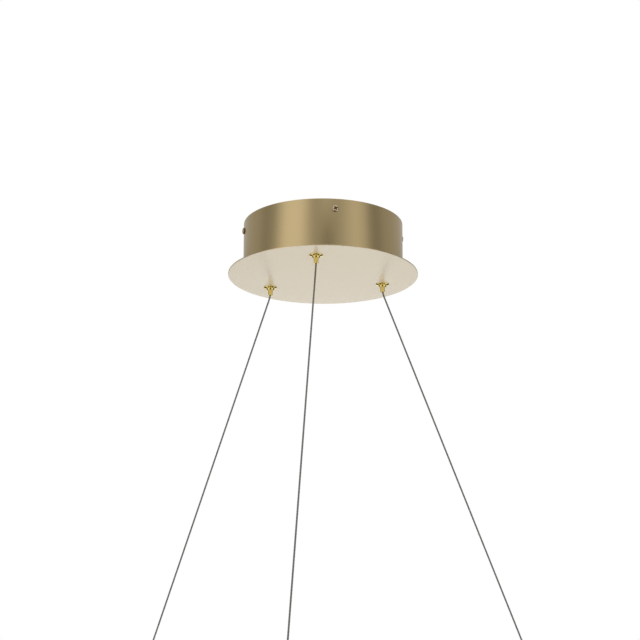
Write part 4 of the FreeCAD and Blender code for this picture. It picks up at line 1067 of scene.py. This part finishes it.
class ChandelierStage(bpy.types.Operator):
    """Floor, surroundings, lamps, world and camera"""

    bl_idname = "chandelier.stage"
    bl_label = "Stage"

    def execute(self, context):
        scene, s = context.scene, context.scene.chandelier_stage
        scene.view_settings.view_transform = "Standard"
        self.floor(s)
        self.surroundings(s)
        self.world(scene, s)
        lamp("key_lamp", (-1.9, -2.4, 1.1), (0, 0, -0.05), 1.6, s.key)
        lamp("low_lamp", (0.5, -1.4, -1.9), (0, 0, -0.06), 1.8, s.low)
        self.camera(scene, s)
        return {"FINISHED"}

    def floor(self, s):
        """Pale floor that camera, gloss and clear rays see as white where no shadow lies."""
        r = np.array([0.0, 3.0, 12.0])
        grid = turned(np.column_stack([r, np.full(3, -s.floor)]), circle(64))
        shader = Shader("floor_paint")
        paint = shader.node("ShaderNodeBsdfDiffuse", (), {"Color": (0.86, 0.86, 0.86)})
        glow = shader.shine("ShaderNodeEmission", (1, 1, 1), shader.seen() * s.floor_glow)
        both = shader.node("ShaderNodeAddShader", (), {0: paint, 1: glow})
        stage_piece("floor", (grid, False, False), shader.output(both))

    def surroundings(self, s):
        """A bowl round the object that only gloss sees, painted with boxes and flags. Its radius is
        R cos e at the height R sin e, for elevation e. A soft edge is a ramp from 0 to 1."""
        around, rise = circle(360), np.linspace(-89.9, 50, 95)
        level = np.radians(rise)
        grid = turned(s.bowl * np.column_stack([np.cos(level), np.sin(level)]), around)
        right = np.degrees(around - (s.camera_turn - math.pi / 2))
        shade = np.full(grid.shape[:2], BACKDROP)
        for middles, half, soft, low, high, edge, grey in BOXES_AND_FLAGS:
            within = np.clip(np.minimum(high - rise, rise - low) / edge + 0.5, 0, 1)[:, None]
            for middle in middles:
                off = np.abs((right - middle + 180) % 360 - 180)
                shade += (grey - shade) * np.clip((half - off) / soft + 0.5, 0, 1) * within
        shader = Shader("surround_glow")
        painted = shader.node("ShaderNodeAttribute", {"attribute_name": "glow"}, (), "Color")
        glow = shader.shine("ShaderNodeEmission", painted, 1.0)
        bowl = stage_piece("surroundings", (grid, False, True), shader.output(glow))
        tint = (*bpy.context.scene.chandelier_colours.surround, 1)
        glow = bowl.data.color_attributes.new("glow", "FLOAT_COLOR", "POINT")
        glow.data.foreach_set("color", np.outer(shade.ravel(), tint).ravel())
        for ray in ("camera", "diffuse", "transmission", "volume_scatter", "shadow"):
            setattr(bowl, f"visible_{ray}", False)

    def world(self, scene, s):
        """White for rays from the camera, gloss and clear material; a plain grey light else."""
        shader = Shader("studio", "worlds")
        light, white = (shader.shine("ShaderNodeBackground", (1, 1, 1), strength)
                        for strength in (s.world, 1.0))
        mix = shader.node("ShaderNodeMixShader", (), {0: shader.seen(), 1: light, 2: white})
        scene.world = shader.output(mix, "World")

    def camera(self, scene, s):
        """The photograph's camera, which looks past the canopy's axis a little."""
        data = bpy.data.cameras.new("photo_camera")
        data.lens = s.lens
        data.sensor_width = 36.0
        data.clip_start, data.clip_end = 0.05, 60.0
        camera = bpy.data.objects.new("photo_camera", data)
        scene.collection.objects.link(camera)
        turn, rise = s.camera_turn, s.camera_rise
        back = Vector((math.sin(turn) * math.cos(rise), -math.cos(turn) * math.cos(rise),
                       math.sin(rise)))
        target = Vector((0, 0, foot("canopy_plate")))
        view = Matrix.Rotation(turn, 3, "Z") @ Vector((
            math.sin(s.camera_yaw) * math.cos(s.camera_pitch),
            math.cos(s.camera_yaw) * math.cos(s.camera_pitch), math.sin(s.camera_pitch)))
        right = view.cross(Vector((0, 0, 1))).normalized()
        up = right.cross(view)
        c, t = math.cos(s.camera_roll), math.sin(s.camera_roll)
        right, up = right * c + up * t, up * c - right * t
        facing = Matrix((right, up, -view)).transposed().to_4x4()
        camera.matrix_world = Matrix.Translation(target + back * s.camera_distance) @ facing
        scene.camera = camera


OPERATORS = (ChandelierStage, ChandelierRopes, ChandelierDrum, ChandelierPlate, ChandelierScrews,
             ChandelierFlanges, ChandelierCollars, ChandelierNoses, ChandelierClamps,
             ChandelierTails, ChandelierRing, ChandelierDiffuser, ChandelierAnchors,
             ChandelierInner)
GROUPS = {"chandelier_canopy": CanopySizes, "chandelier_grippers": GripperSizes,
          "chandelier_ropes": RopeSizes, "chandelier_ring": RingSizes,
          "chandelier_colours": FinishColours, "chandelier_stage": StageSettings}


class ChandelierPanel(bpy.types.Panel):
    """Sizes and colours of the chandelier, and a button for each of its pieces"""

    bl_idname = "VIEW3D_PT_chandelier"
    bl_label = "Ring chandelier"
    bl_space_type = "VIEW_3D"
    bl_region_type = "UI"
    bl_category = "Chandelier"

    def draw(self, context):
        column = self.layout.column(align=True)
        for operator in OPERATORS:
            column.operator(operator.bl_idname)
        for name, group in GROUPS.items():
            box = self.layout.box()
            box.label(text=group.__doc__)
            for key in group.__annotations__:
                box.prop(getattr(context.scene, name), key)


def register():
    for group in GROUPS.values():
        bpy.utils.register_class(group)
    for name, group in GROUPS.items():
        setattr(bpy.types.Scene, name, PointerProperty(type=group))
    for operator in OPERATORS:
        bpy.utils.register_class(operator)
    bpy.utils.register_class(ChandelierPanel)


def unregister():
    bpy.utils.unregister_class(ChandelierPanel)
    for operator in reversed(OPERATORS):
        bpy.utils.unregister_class(operator)
    for name, group in reversed(GROUPS.items()):
        delattr(bpy.types.Scene, name)
        bpy.utils.unregister_class(group)


def main():
    register()
    for operator in OPERATORS:
        getattr(bpy.ops.chandelier, operator.bl_idname.split(".")[1])()


if __name__ == "__main__":
    main()
